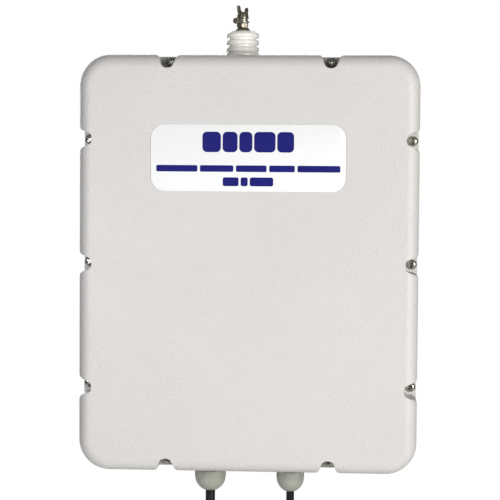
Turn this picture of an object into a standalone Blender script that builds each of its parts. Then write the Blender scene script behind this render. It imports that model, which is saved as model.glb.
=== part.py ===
"""Weatherproof remote antenna tuner, held by the flat back of its case.

The frame's origin is the centre of the case's back face. +X is to the right as seen from
the front, +Z is up, and the cover faces -Y. Lengths are in metres.
"""

import math

import bmesh
import bpy
from mathutils import Matrix, Vector

# --- Driving dimensions ----------------------------------------------------

GAP = 0.0003                     # left between touching pieces
CUT = 0.001                      # how far a cutting body passes the face it cuts

CASE_WIDTH = 0.240
CASE_HEIGHT = 0.295
CASE_DEPTH = 0.070
CORNER_RADIUS = 0.022
CORNER_STEPS = 5
WALL = 0.0035
PARTING_DEPTH = 0.036            # from the back face to the joint between base and cover
PARTING_CHAMFER = 0.0004
BACK_FILLET = 0.003
FRONT_FILLET = 0.009
FILLET_STEPS = 3
FLANGE_WIDTH = 0.0145            # inner rim that carries the screws and the gasket
FLANGE_THICKNESS = 0.004
COVER_WALL = 0.003

SCREW_INSET = 0.004              # from the case's outline to a screw's centre
SCREW_SPACING_X = 0.115          # between the two screws along the top and the bottom
SCREW_SPACING_Z = 0.088          # between neighbours along each side
SCREW_RADIUS = 0.002
SCREW_LENGTH = 0.016
SCREW_HEAD_RADIUS = 0.0036
SCREW_HEAD_HEIGHT = 0.0026
POCKET_RADIUS = 0.0056
POCKET_WALL = 0.0025
POCKET_FLARE = 0.0015            # how far the pocket's mouth opens on each side
BOSS_RADIUS = 0.0062

GROOVE_INSET = 0.009
GROOVE_WIDTH = 0.003
GROOVE_DEPTH = 0.002

LABEL_WIDTH = 0.137
LABEL_HEIGHT = 0.047
LABEL_RADIUS = 0.010
LABEL_THICKNESS = 0.0005
LABEL_PROUD = 0.0002
LABEL_CENTRE_Z = 0.075

ENTRY_Y = -0.017                 # depth of the terminal's and the glands' axes

INSULATOR_X = -0.008
INSULATOR_HEIGHT = 0.020
INSULATOR_RIB_RADIUS = 0.01215
INSULATOR_GROOVE_RADIUS = 0.0100
INSULATOR_RIBS = 3
INSULATOR_RIB_PITCH = 0.0051
INSULATOR_NECK_RADIUS = 0.0067
SEAL_THICKNESS = 0.0012

STUD_RADIUS = 0.0025             # M5
TIP = 0.0006                     # chamfer of a stud's or bolt's end
STUD_ABOVE = 0.0140              # above the insulator
STUD_BELOW = 0.0160              # below the case's outer wall
WING_TURN = math.radians(74.0)   # from the sideways direction, as the nut is left
WING_SPAN = 0.0108               # from the axis to a wing's tip
WING_THICKNESS = 0.0017
WING_HEIGHT = 0.0094
WING_BOSS_RADIUS = 0.0046
WING_BOSS_HEIGHT = 0.0050
LUG_TURN = math.radians(-18.0)
LUG_RADIUS = 0.0050
LUG_THICKNESS = 0.0010
LUG_BARREL_RADIUS = 0.0023
LUG_BARREL_BORE = 0.0016
LUG_BARREL_LENGTH = 0.0080
CUP_HEIGHT = 0.0022
HEX_CORNERS = 0.0092
HEX_HEIGHT = 0.0032
LOCK_WASHER_RADIUS = 0.0040
LOCK_WASHER_HEIGHT = 0.0011

GLAND_X = 0.0295                 # each side of the middle
GLAND_FACETS = 12
CONTROL_CABLE = 0.0070
COAX_CABLE = 0.0058
CONTROL_GLAND = {"thread": 0.0092, "corner": 0.01165, "cable": CONTROL_CABLE / 2, "end": 0.0050}
COAX_GLAND = {"thread": 0.0076, "corner": 0.01045, "cable": COAX_CABLE / 2, "end": 0.0043}
GLAND_WASHER = 0.0014
GLAND_FLANGE = 0.0042
GLAND_INSIDE = 0.0130            # length of the body behind the wall
GLAND_LOCK_NUT = 0.0045
GLAND_THREAD_END = 0.0130        # heights below the wall's outer face
GLAND_DOME_START = 0.0125
GLAND_SEAL_END = 0.0193
GLAND_END = 0.0214
GLAND_DOME_SWEEP = math.radians(55.0)
GLAND_NUT_WALL = 0.0016

EARTH_X = 0.0
EARTH_Y = -0.0105
EARTH_BOLT_LENGTH = 0.0088       # outside the bottom wall
EARTH_HEAD_RADIUS = 0.0044
EARTH_HEAD_HEIGHT = 0.0032
EARTH_WASHER_RADIUS = 0.0055
EARTH_WASHER_HEIGHT = 0.0010
EARTH_WING_TURN = math.radians(8.0)
EARTH_WING_HEIGHT = 0.0068

COIL_TURN_RADIUS = 0.0415        # at the middle of the coil's turns
COIL_LAYERS = 2.5                # section radius in cable diameters, nineteen turns
COIL_Y = -0.020
COIL_Z = -0.282
CONTROL_COIL_X = -0.0578
COAX_COIL_X = 0.0577
BEND_RADIUS = 0.039              # of a cable as it turns over its coil
BEND_SHARE = 0.60                # of that bend that the tube shows before the coil takes over
TAIL_TOP = 0.033                 # below the coil's centre
TAIL_LENGTH = 0.022
TIE_WIDTH = 0.005
TIE_THICKNESS = 0.0014

BOARD_WIDTH = 0.190
BOARD_LOW = -0.120
BOARD_HIGH = 0.118
BOARD_THICKNESS = 0.0016
PILLAR_HEIGHT = 0.012            # from the back face
PILLAR_RADIUS = 0.004
PILLAR_X = 0.088
PILLAR_Z = 0.100

MOUNT_X = 0.080                  # blind fixing bores in the back
MOUNT_Z = 0.115
MOUNT_BORE_RADIUS = 0.0026
MOUNT_BORE_DEPTH = 0.009
MOUNT_BOSS_RADIUS = 0.007
MOUNT_BOSS_HEIGHT = 0.0115

HALF_X = CASE_WIDTH / 2
HALF_Z = CASE_HEIGHT / 2
FLANGE_FRONT = PARTING_DEPTH + GAP
LEDGE = FLANGE_FRONT + FLANGE_THICKNESS - GAP
UP = Matrix.Identity(4)
FORWARD = Matrix.Rotation(math.pi / 2, 4, "X")


# --- Materials ---------------------------------------------------------------

def make_material(name, colour, roughness, metallic=0.0):
    """Principled material with one colour."""
    material = bpy.data.materials.new(name)
    material.use_nodes = True
    shader = material.node_tree.nodes["Principled BSDF"]
    shader.inputs["Base Color"].default_value = (*colour, 1.0)
    shader.inputs["Roughness"].default_value = roughness
    shader.inputs["Metallic"].default_value = metallic
    material.diffuse_color = (*colour, 1.0)
    return material


# --- Mesh building -----------------------------------------------------------

def add_loft(bm, rings, matrix=UP):
    """Closed body through rings of equally many points, capped at both ends."""
    rows = [[bm.verts.new(matrix @ Vector(point)) for point in ring] for ring in rings]
    count = len(rows[0])
    for lower, upper in zip(rows, rows[1:]):
        for i in range(count):
            j = (i + 1) % count
            bm.faces.new((lower[i], lower[j], upper[j], upper[i]))
    bm.faces.new(list(reversed(rows[0])))
    bm.faces.new(rows[-1])


def add_turned(bm, profile, segments, matrix=UP, closed=False):
    """Body turned about local Z from (radius, height) points.

    A profile that isn't closed starts and ends on the axis.
    """
    rows = []
    for radius, height in profile:
        if radius == 0.0:
            rows.append([bm.verts.new(matrix @ Vector((0.0, 0.0, height)))])
            continue
        row = []
        for i in range(segments):
            angle = math.tau * i / segments
            point = Vector((radius * math.cos(angle), radius * math.sin(angle), height))
            row.append(bm.verts.new(matrix @ point))
        rows.append(row)
    pairs = list(zip(rows, rows[1:]))
    if closed:
        pairs.append((rows[-1], rows[0]))
    for first, second in pairs:
        for i in range(segments):
            j = (i + 1) % segments
            corners = [first[i % len(first)], first[j % len(first)],
                       second[j % len(second)], second[i % len(second)]]
            bm.faces.new(list(dict.fromkeys(corners)))


def clearing(radius, facets):
    """Corner radius of a faceted bore whose flats clear a round of the given radius."""
    return radius / math.cos(math.pi / facets)


def add_rod(bm, radius, start, end, segments, matrix=UP):
    """Plain round rod along local Z."""
    add_turned(bm, [(0.0, start), (radius, start), (radius, end), (0.0, end)], segments, matrix)


def add_tube(bm, inner, outer, start, end, segments, matrix=UP):
    """Plain round tube along local Z."""
    bore = clearing(inner, segments)
    profile = [(bore, start), (outer, start), (outer, end), (bore, end)]
    add_turned(bm, profile, segments, matrix, closed=True)


def add_block(bm, size, centre, matrix=UP):
    """Rectangular block."""
    scale = Matrix.Diagonal((*size, 1.0))
    bmesh.ops.create_cube(bm, size=1.0, matrix=matrix @ Matrix.Translation(centre) @ scale)


def rounded_outline(half_width, half_height, radius, steps=CORNER_STEPS):
    """Rounded rectangle's points, anticlockwise."""
    points = []
    corners = ((1, 1, 0.0), (-1, 1, 0.25), (-1, -1, 0.5), (1, -1, 0.75))
    for side_x, side_z, start in corners:
        for i in range(steps + 1):
            angle = math.tau * (start + 0.25 * i / steps)
            points.append((side_x * (half_width - radius) + radius * math.cos(angle),
                           side_z * (half_height - radius) + radius * math.sin(angle)))
    return points


def case_ring(depth, inset):
    """The case's outline, moved in by inset, at a depth in front of the back face."""
    outline = rounded_outline(HALF_X - inset, HALF_Z - inset, CORNER_RADIUS - inset)
    return [(x, -depth, z) for x, z in outline]


def fillet_levels(depth, radius, towards_front):
    """(depth, inset) pairs of a quarter-round edge that ends at the given depth."""
    levels = []
    for i in range(1, FILLET_STEPS + 1):
        angle = 0.5 * math.pi * i / FILLET_STEPS
        along = radius * (1.0 - math.sin(angle))
        inset = radius * (1.0 - math.cos(angle))
        levels.append((depth - along if towards_front else depth + along, inset))
    return levels


# --- Objects -----------------------------------------------------------------

def make_object(name, bm, material, parent=None, matrix=UP):
    """Object from a bmesh, placed by its own matrix under its parent."""
    bmesh.ops.recalc_face_normals(bm, faces=bm.faces)
    mesh = bpy.data.meshes.new(name)
    bm.to_mesh(mesh)
    bm.free()
    mesh.shade_smooth()
    mesh.set_sharp_from_angle(angle=math.radians(35.0))
    obj = bpy.data.objects.new(name, mesh)
    bpy.context.scene.collection.objects.link(obj)
    if material:
        mesh.materials.append(material)
    obj.parent = parent
    obj.matrix_basis = matrix
    return obj


def make_cutter(name, bm, parent=None):
    """Guide that shapes other objects and isn't part of the tuner."""
    obj = make_object(name, bm, None, parent)
    obj.hide_render = True
    obj.display_type = "WIRE"
    return obj


def combine(target, other, operation):
    """Exact Boolean of two objects, kept as a modifier."""
    modifier = target.modifiers.new(operation.title(), "BOOLEAN")
    modifier.operation = operation
    modifier.object = other
    modifier.solver = "EXACT"


def make_axis(name, location, rotation=(0.0, 0.0, 0.0)):
    """Empty on an axis that several pieces share."""
    empty = bpy.data.objects.new(name, None)
    bpy.context.scene.collection.objects.link(empty)
    empty.location = location
    empty.rotation_euler = rotation
    empty.empty_display_size = 0.02
    return empty


def screw_places():
    """(x, z, turn) of the ten cover screws; turn faces the pocket's mouth outwards."""
    places = []
    for side, turn in ((1, 0.0), (-1, math.pi)):
        for step in (-1, 0, 1):
            places.append((side * (HALF_X - SCREW_INSET), step * SCREW_SPACING_Z, turn))
    for side, turn in ((1, 0.5 * math.pi), (-1, -0.5 * math.pi)):
        for step in (-0.5, 0.5):
            places.append((step * SCREW_SPACING_X, side * (HALF_Z - SCREW_INSET), turn))
    return places


def at_front(x, depth, z):
    """Local Z pointing out of the front, from a point at a depth."""
    return Matrix.Translation((x, -depth, z)) @ FORWARD


# --- Case ----------------------------------------------------------------------

def build_base(material):
    """Rear half: open tray with a flange, screw bosses, board pillars and entries."""
    bm = bmesh.new()
    levels = [(depth, inset) for depth, inset in reversed(
        fillet_levels(0.0, BACK_FILLET, towards_front=False))]
    levels.append((PARTING_DEPTH - PARTING_CHAMFER, 0.0))
    levels.append((PARTING_DEPTH, PARTING_CHAMFER))
    levels.insert(-2, (BACK_FILLET, 0.0))
    add_loft(bm, [case_ring(depth, inset) for depth, inset in levels])
    base = make_object("rear_base", bm, material)

    bm = bmesh.new()
    flange_back = PARTING_DEPTH - FLANGE_THICKNESS
    beyond = PARTING_DEPTH + WALL
    add_loft(bm, [case_ring(WALL, WALL), case_ring(flange_back, WALL),
                  case_ring(flange_back, FLANGE_WIDTH), case_ring(beyond, FLANGE_WIDTH)])
    hollow = make_cutter("base_hollow", bm)

    bm = bmesh.new()
    for x, z, _ in screw_places():
        add_rod(bm, BOSS_RADIUS, 0.001, flange_back + 0.001, 12, at_front(x, 0.0, z))
    for x in (-PILLAR_X, PILLAR_X):
        for z in (-PILLAR_Z, PILLAR_Z):
            add_rod(bm, PILLAR_RADIUS, 0.001, PILLAR_HEIGHT, 12, at_front(x, 0.0, z))
    for x in (-MOUNT_X, MOUNT_X):
        for z in (-MOUNT_Z, MOUNT_Z):
            add_rod(bm, MOUNT_BOSS_RADIUS, 0.001, MOUNT_BOSS_HEIGHT, 16, at_front(x, 0.0, z))
    columns = make_cutter("base_columns", bm)
    combine(hollow, columns, "DIFFERENCE")
    combine(base, hollow, "DIFFERENCE")

    bm = bmesh.new()
    for x, z, _ in screw_places():
        bottom = LEDGE - SCREW_LENGTH - 0.002
        add_rod(bm, clearing(SCREW_RADIUS + GAP, 8), bottom, beyond, 8, at_front(x, 0.0, z))
    for x in (-PILLAR_X, PILLAR_X):
        for z in (-PILLAR_Z, PILLAR_Z):
            add_rod(bm, 0.0020, 0.0045, PILLAR_HEIGHT + 0.001, 8, at_front(x, 0.0, z))
    for x in (-MOUNT_X, MOUNT_X):
        for z in (-MOUNT_Z, MOUNT_Z):
            add_rod(bm, MOUNT_BORE_RADIUS, -0.001, MOUNT_BORE_DEPTH, 12, at_front(x, 0.0, z))
    bores = make_cutter("base_bores", bm)
    combine(base, bores, "DIFFERENCE")

    bm = bmesh.new()
    top = Matrix.Translation((INSULATOR_X, ENTRY_Y, HALF_Z))
    add_rod(bm, INSULATOR_NECK_RADIUS + GAP, -0.006, 0.006, 24, top)
    for x, size in ((-GLAND_X, CONTROL_GLAND), (GLAND_X, COAX_GLAND)):
        add_rod(bm, size["thread"] + GAP, -0.006, 0.006, 24,
                Matrix.Translation((x, ENTRY_Y, -HALF_Z)))
    add_rod(bm, STUD_RADIUS + GAP, -0.006, 0.006, 16,
            Matrix.Translation((EARTH_X, EARTH_Y, -HALF_Z)))
    entries = make_cutter("base_entries", bm)
    combine(base, entries, "DIFFERENCE")

    groove = make_cutter("gasket_groove", groove_mesh(
        GROOVE_INSET, GROOVE_WIDTH, PARTING_DEPTH - GROOVE_DEPTH, PARTING_DEPTH + 0.001))
    combine(base, groove, "DIFFERENCE")


def groove_mesh(inset, width, back, front):
    """Closed band that follows the case's outline."""
    bm = bmesh.new()
    corners = ((back, inset), (front, inset), (front, inset + width), (back, inset + width))
    rows = [[bm.verts.new(point) for point in case_ring(depth, edge)]
            for depth, edge in corners]
    count = len(rows[0])
    for first, second in zip(rows, rows[1:] + rows[:1]):
        for i in range(count):
            j = (i + 1) % count
            bm.faces.new((first[i], first[j], second[j], second[i]))
    return bm


def build_gasket(material):
    """Rubber gasket in the base's groove."""
    bm = groove_mesh(GROOVE_INSET + GAP, GROOVE_WIDTH - 2 * GAP,
                     PARTING_DEPTH - GROOVE_DEPTH + GAP, PARTING_DEPTH)
    make_object("cover_gasket", bm, material)


def pocket_ring(x, z, turn, depth):
    """Half-round pocket with a flared mouth, in the plane of the front."""
    mouth = math.asin(SCREW_INSET / POCKET_RADIUS)
    points = []
    steps = 8
    for i in range(steps + 1):
        angle = 0.5 * math.pi + mouth * 0.35 + (math.pi - mouth * 0.7) * i / steps
        points.append((POCKET_RADIUS * math.cos(angle), POCKET_RADIUS * math.sin(angle)))
    wide = POCKET_RADIUS + POCKET_FLARE
    out = SCREW_INSET + 0.002
    points += [(SCREW_INSET, -wide), (out, -wide - 0.002), (out, wide + 0.002),
               (SCREW_INSET, wide)]
    spin = Matrix.Rotation(turn, 2)
    placed = [spin @ Vector(point) for point in points]
    return [(x + point.x, -depth, z + point.y) for point in placed]


def build_cover(material):
    """Front half: deep shell with ten screw pockets and a shallow label recess."""
    bm = bmesh.new()
    levels = [(FLANGE_FRONT, PARTING_CHAMFER), (FLANGE_FRONT + PARTING_CHAMFER, 0.0),
              (CASE_DEPTH - FRONT_FILLET, 0.0)]
    levels += fillet_levels(CASE_DEPTH, FRONT_FILLET, towards_front=True)
    add_loft(bm, [case_ring(depth, inset) for depth, inset in levels])
    cover = make_object("front_cover", bm, material)

    bm = bmesh.new()
    inner_front = CASE_DEPTH - COVER_WALL
    inner_fillet = FRONT_FILLET - COVER_WALL
    levels = [(FLANGE_FRONT - 0.002, FLANGE_WIDTH), (LEDGE, FLANGE_WIDTH),
              (LEDGE, COVER_WALL), (inner_front - inner_fillet, COVER_WALL)]
    levels += [(depth, inset + COVER_WALL) for depth, inset in
               fillet_levels(inner_front, inner_fillet, towards_front=True)]
    add_loft(bm, [case_ring(depth, inset) for depth, inset in levels])
    hollow = make_cutter("cover_hollow", bm)

    bm = bmesh.new()
    for x, z, _ in screw_places():
        add_rod(bm, POCKET_RADIUS + POCKET_WALL, LEDGE - 0.001, CASE_DEPTH, 16,
                at_front(x, 0.0, z))
    columns = make_cutter("cover_columns", bm)
    combine(hollow, columns, "DIFFERENCE")
    combine(cover, hollow, "DIFFERENCE")

    bm = bmesh.new()
    for x, z, turn in screw_places():
        add_loft(bm, [pocket_ring(x, z, turn, LEDGE),
                      pocket_ring(x, z, turn, CASE_DEPTH + 0.002)])
    pockets = make_cutter("cover_pockets", bm)
    combine(cover, pockets, "DIFFERENCE")

    bm = bmesh.new()
    for x, z, _ in screw_places():
        add_rod(bm, clearing(SCREW_RADIUS + GAP, 8), FLANGE_FRONT - 0.002, LEDGE + 0.002, 8,
                at_front(x, 0.0, z))
    label_floor = CASE_DEPTH + LABEL_PROUD - LABEL_THICKNESS - GAP
    add_loft(bm, [label_ring(label_floor, GAP), label_ring(CASE_DEPTH + 0.002, GAP)])
    bores = make_cutter("cover_bores", bm)
    combine(cover, bores, "DIFFERENCE")


def label_ring(depth, outset):
    """The label's outline at a depth, grown by outset."""
    outline = rounded_outline(LABEL_WIDTH / 2 + outset, LABEL_HEIGHT / 2 + outset,
                              LABEL_RADIUS + outset)
    return [(x, -depth, LABEL_CENTRE_Z + z) for x, z in outline]


def build_label(material):
    """Thin plate in the cover's recess."""
    bm = bmesh.new()
    face = CASE_DEPTH + LABEL_PROUD
    add_loft(bm, [label_ring(face - LABEL_THICKNESS, 0.0), label_ring(face, 0.0)])
    make_object("front_label", bm, material)


def pan_screw_mesh(radius, length, head_radius, head_height, segments=10):
    """Pan-head screw with a cross recess; local Z points out of the head."""
    bm = bmesh.new()
    add_turned(bm, [(0.0, -length), (0.6 * radius, -length), (radius, -length + radius),
                    (radius, 0.0), (head_radius, 0.0), (head_radius, 0.5 * head_height),
                    (0.8 * head_radius, 0.9 * head_height), (0.45 * head_radius, head_height),
                    (0.0, head_height)], segments)
    return bm


def cross_outline(reach, half_slot):
    """Twelve points of a plus sign."""
    corners = [(reach, -half_slot), (reach, half_slot), (half_slot, half_slot)]
    points = []
    for turn in range(4):
        spin = Matrix.Rotation(0.5 * math.pi * turn, 2)
        points += [spin @ Vector(corner) for corner in corners]
    return points


def build_screws(material):
    """Ten cover screws with cross recesses."""
    for number, (x, z, _) in enumerate(screw_places(), start=1):
        place = at_front(x, LEDGE + GAP, z)
        bm = pan_screw_mesh(SCREW_RADIUS, SCREW_LENGTH, SCREW_HEAD_RADIUS, SCREW_HEAD_HEIGHT)
        screw = make_object(f"cover_screw_{number:02d}", bm, material, matrix=place)
        bm = bmesh.new()
        floor = 0.5 * SCREW_HEAD_HEIGHT
        outline = cross_outline(0.45 * SCREW_HEAD_RADIUS, 0.0004)
        add_loft(bm, [[(px, py, height) for px, py in outline]
                      for height in (floor, 2.0 * SCREW_HEAD_HEIGHT)])
        cross = make_cutter(f"screw_cross_{number:02d}", bm)
        cross.matrix_basis = place
        combine(screw, cross, "DIFFERENCE")


# --- Antenna terminal ----------------------------------------------------------

def insulator_profile():
    """Ribbed outside, neck through the wall and central bore."""
    bore = STUD_RADIUS + GAP
    base = SEAL_THICKNESS + 2 * GAP
    rib = INSULATOR_RIB_RADIUS
    groove = INSULATOR_GROOVE_RADIUS
    profile = [(bore, -WALL), (INSULATOR_NECK_RADIUS, -WALL), (INSULATOR_NECK_RADIUS, base),
               (rib, base), (rib, base + 0.0022)]
    steps = 4
    first = INSULATOR_HEIGHT - (INSULATOR_RIBS - 0.4) * INSULATOR_RIB_PITCH
    for index in range(INSULATOR_RIBS):
        middle = first + index * INSULATOR_RIB_PITCH
        for i in range(steps + 1):
            angle = math.pi * i / steps
            bulge = math.sin(angle) ** 0.7
            height = middle - 0.42 * INSULATOR_RIB_PITCH * math.cos(angle)
            profile.append((groove + (rib - groove) * bulge, height))
    profile += [(groove - 0.001, INSULATOR_HEIGHT), (bore, INSULATOR_HEIGHT)]
    return profile


def add_wings(bm, height):
    """Two upright wings as closed bodies that start inside the boss."""
    inner = 0.7 * WING_BOSS_RADIUS
    span = WING_SPAN
    outline = [(inner, 0.15 * WING_BOSS_HEIGHT), (0.45 * span, 0.45 * WING_BOSS_HEIGHT),
               (0.8 * span, 0.45 * height), (0.98 * span, 0.75 * height),
               (0.95 * span, 0.95 * height), (0.82 * span, height),
               (0.62 * span, 0.9 * height), (inner, 0.95 * WING_BOSS_HEIGHT)]
    for turn in (0.0, math.pi):
        spin = Matrix.Rotation(turn, 4, "Z")
        rings = [[(x, y, z) for x, z in outline]
                 for y in (WING_THICKNESS / 2, -WING_THICKNESS / 2)]
        add_loft(bm, rings, spin)


def build_wing_nut(name, material, parent, seat, turn, height):
    """Wing nut whose boss stands on the seat height; turned about the stud."""
    bm = bmesh.new()
    add_turned(bm, [(0.0, 0.0), (WING_BOSS_RADIUS, 0.0),
                    (0.85 * WING_BOSS_RADIUS, WING_BOSS_HEIGHT), (0.0, WING_BOSS_HEIGHT)], 20)
    place = Matrix.Translation((0.0, 0.0, seat)) @ Matrix.Rotation(turn, 4, "Z")
    nut = make_object(name, bm, material, parent, place)
    bm = bmesh.new()
    add_wings(bm, height)
    wings = make_cutter(f"{name}_wings", bm, parent)
    wings.matrix_basis = place
    combine(nut, wings, "UNION")
    bm = bmesh.new()
    add_rod(bm, STUD_RADIUS + GAP, -CUT, WING_BOSS_HEIGHT + CUT, 16)
    bore = make_cutter(f"{name}_bore", bm, parent)
    bore.matrix_basis = place
    combine(nut, bore, "DIFFERENCE")
    return nut


def build_ring_lug(material, parent, seat):
    """Ring lug whose crimp barrel points at the viewer."""
    bm = bmesh.new()
    add_rod(bm, LUG_RADIUS, 0.0, LUG_THICKNESS, 20)
    place = Matrix.Translation((0.0, 0.0, seat)) @ Matrix.Rotation(LUG_TURN, 4, "Z")
    lug = make_object("antenna_ring_lug", bm, material, parent, place)
    bm = bmesh.new()
    start = LUG_RADIUS + 0.5 * LUG_THICKNESS
    towards = Matrix.Translation((0.0, -start, 0.5 * LUG_THICKNESS)) @ FORWARD
    add_rod(bm, LUG_BARREL_RADIUS, 0.0, LUG_BARREL_LENGTH, 12, towards)
    barrel = make_cutter("lug_barrel", bm, parent)
    barrel.matrix_basis = place
    bm = bmesh.new()
    add_block(bm, (0.8 * LUG_RADIUS, 0.7 * LUG_RADIUS, LUG_THICKNESS),
              (0.0, -0.96 * LUG_RADIUS, 0.5 * LUG_THICKNESS))
    neck = make_cutter("lug_neck", bm, parent)
    neck.matrix_basis = place
    combine(lug, neck, "UNION")
    combine(lug, barrel, "UNION")
    bm = bmesh.new()
    add_rod(bm, LUG_BARREL_BORE, LUG_BARREL_BORE, LUG_BARREL_LENGTH + CUT, 12, towards)
    add_rod(bm, STUD_RADIUS + GAP, -CUT, LUG_BARREL_RADIUS + CUT, 16)
    bore = make_cutter("lug_bores", bm, parent)
    bore.matrix_basis = place
    combine(lug, bore, "DIFFERENCE")


def hex_nut_mesh(bore, across_corners, height, chamfer=0.0003):
    """Hexagon nut standing on local zero."""
    bm = bmesh.new()
    bore = clearing(bore, 6)
    outer = across_corners / 2
    add_turned(bm, [(bore, 0.0), (outer - chamfer, 0.0), (outer, chamfer),
                    (outer, height - chamfer), (outer - chamfer, height), (bore, height)],
               6, closed=True)
    return bm


def build_antenna_terminal(ceramic, brass, steel, rubber, copper):
    """Insulator, stud and everything stacked on the stud."""
    axis = make_axis("antenna_terminal_axis", (INSULATOR_X, ENTRY_Y, HALF_Z))
    bore = STUD_RADIUS + GAP

    bm = bmesh.new()
    add_turned(bm, insulator_profile(), 20, closed=True)
    make_object("antenna_insulator", bm, ceramic, axis)
    bm = bmesh.new()
    add_tube(bm, INSULATOR_NECK_RADIUS + GAP, INSULATOR_RIB_RADIUS + 0.0006, GAP,
             GAP + SEAL_THICKNESS, 24)
    make_object("insulator_gasket", bm, rubber, axis)

    bm = bmesh.new()
    stud_top = INSULATOR_HEIGHT + STUD_ABOVE
    add_turned(bm, [(0.0, -STUD_BELOW), (STUD_RADIUS, -STUD_BELOW), (STUD_RADIUS, stud_top - TIP),
                    (STUD_RADIUS - TIP, stud_top), (0.0, stud_top)], 16)
    make_object("antenna_stud", bm, brass, axis)

    bm = bmesh.new()
    inner_top = -WALL - GAP
    add_turned(bm, [(bore, inner_top), (0.009, inner_top), (0.009, inner_top - 0.0012),
                    (0.0052, inner_top - 0.0016), (0.0052, inner_top - 0.005),
                    (bore, inner_top - 0.005)], 12, closed=True)
    make_object("stud_flange_nut", bm, brass, axis)

    level = INSULATOR_HEIGHT + GAP
    bm = bmesh.new()
    add_turned(bm, [(bore, level), (0.0056, level), (0.0053, level + 0.4 * CUP_HEIGHT),
                    (0.0043, level + CUP_HEIGHT), (bore, level + CUP_HEIGHT)], 20, closed=True)
    make_object("stud_cup_washer", bm, brass, axis)

    level += CUP_HEIGHT + GAP
    bm = hex_nut_mesh(bore, HEX_CORNERS, HEX_HEIGHT)
    make_object("stud_hex_nut", bm, brass, axis, Matrix.Translation((0.0, 0.0, level)))

    level += HEX_HEIGHT + GAP
    build_ring_lug(copper, axis, level)

    level += LUG_THICKNESS + GAP
    bm = bmesh.new()
    add_tube(bm, bore, LOCK_WASHER_RADIUS, 0.0, LOCK_WASHER_HEIGHT, 16)
    make_object("antenna_lock_washer", bm, steel, axis, Matrix.Translation((0.0, 0.0, level)))

    level += LOCK_WASHER_HEIGHT + GAP
    build_wing_nut("antenna_wing_nut", brass, axis, level, WING_TURN, WING_HEIGHT)


def build_earth_terminal(brass, steel):
    """Earth bolt through the bottom wall, with its washer and wing nut outside."""
    axis = make_axis("earth_terminal_axis", (EARTH_X, EARTH_Y, -HALF_Z), (math.pi, 0.0, 0.0))
    bore = STUD_RADIUS + GAP
    bm = bmesh.new()
    head = -WALL - GAP
    end = EARTH_BOLT_LENGTH
    add_turned(bm, [(0.0, head - EARTH_HEAD_HEIGHT), (EARTH_HEAD_RADIUS, head - EARTH_HEAD_HEIGHT),
                    (EARTH_HEAD_RADIUS, head), (STUD_RADIUS, head), (STUD_RADIUS, end - TIP),
                    (STUD_RADIUS - TIP, end), (0.0, end)], 12)
    make_object("earth_bolt", bm, brass, axis)
    bm = bmesh.new()
    add_tube(bm, bore, EARTH_WASHER_RADIUS, 0.0, EARTH_WASHER_HEIGHT, 20)
    make_object("earth_washer", bm, steel, axis, Matrix.Translation((0.0, 0.0, GAP)))
    build_wing_nut("earth_wing_nut", brass, axis, 2 * GAP + EARTH_WASHER_HEIGHT,
                   EARTH_WING_TURN, EARTH_WING_HEIGHT)


# --- Cable glands ----------------------------------------------------------------

def build_gland(prefix, x, size, plastic, rubber):
    """Gland body, sealing washer, lock nut, cable seal and dome nut on one axis."""
    axis = make_axis(f"{prefix}_gland_axis", (x, ENTRY_Y, -HALF_Z), (math.pi, 0.0, 0.0))
    thread = size["thread"]
    corner = size["corner"]
    cable = size["cable"]
    flange = GLAND_WASHER + 2 * GAP
    outer_thread = corner - GLAND_NUT_WALL - 2 * GAP
    bore = cable + 0.0010

    bm = bmesh.new()
    add_turned(bm, [(bore, -GLAND_INSIDE), (thread, -GLAND_INSIDE), (thread, flange),
                    (corner + 0.0004, flange), (corner + 0.0004, flange + GLAND_FLANGE),
                    (outer_thread, flange + GLAND_FLANGE), (outer_thread, GLAND_THREAD_END),
                    (bore, GLAND_THREAD_END)], GLAND_FACETS * 2, closed=True)
    make_object(f"{prefix}_gland_body", bm, plastic, axis)

    bm = bmesh.new()
    add_tube(bm, thread + GAP, corner, GAP, GAP + GLAND_WASHER, 24)
    make_object(f"{prefix}_gland_washer", bm, rubber, axis)

    bm = bmesh.new()
    inside = -WALL - GAP
    lock_bore = clearing(thread + GAP, GLAND_FACETS)
    lock_corner = lock_bore + 0.0030
    add_turned(bm, [(lock_bore, inside - GLAND_LOCK_NUT), (lock_corner, inside - GLAND_LOCK_NUT),
                    (lock_corner, inside), (lock_bore, inside)], GLAND_FACETS, closed=True)
    make_object(f"{prefix}_gland_lock_nut", bm, plastic, axis)

    bm = bmesh.new()
    seal_start = GLAND_THREAD_END + GAP
    seal_outer = outer_thread - 0.0012
    add_turned(bm, [(cable + GAP, seal_start), (seal_outer, seal_start),
                    (seal_outer, seal_start + 0.0030), (size["end"] - 0.0002, GLAND_SEAL_END),
                    (cable + GAP, GLAND_SEAL_END)], 20, closed=True)
    make_object(f"{prefix}_gland_seal", bm, rubber, axis)

    build_dome_nut(prefix, size, plastic, axis, flange + GLAND_FLANGE + GAP, outer_thread,
                   seal_outer)


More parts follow.
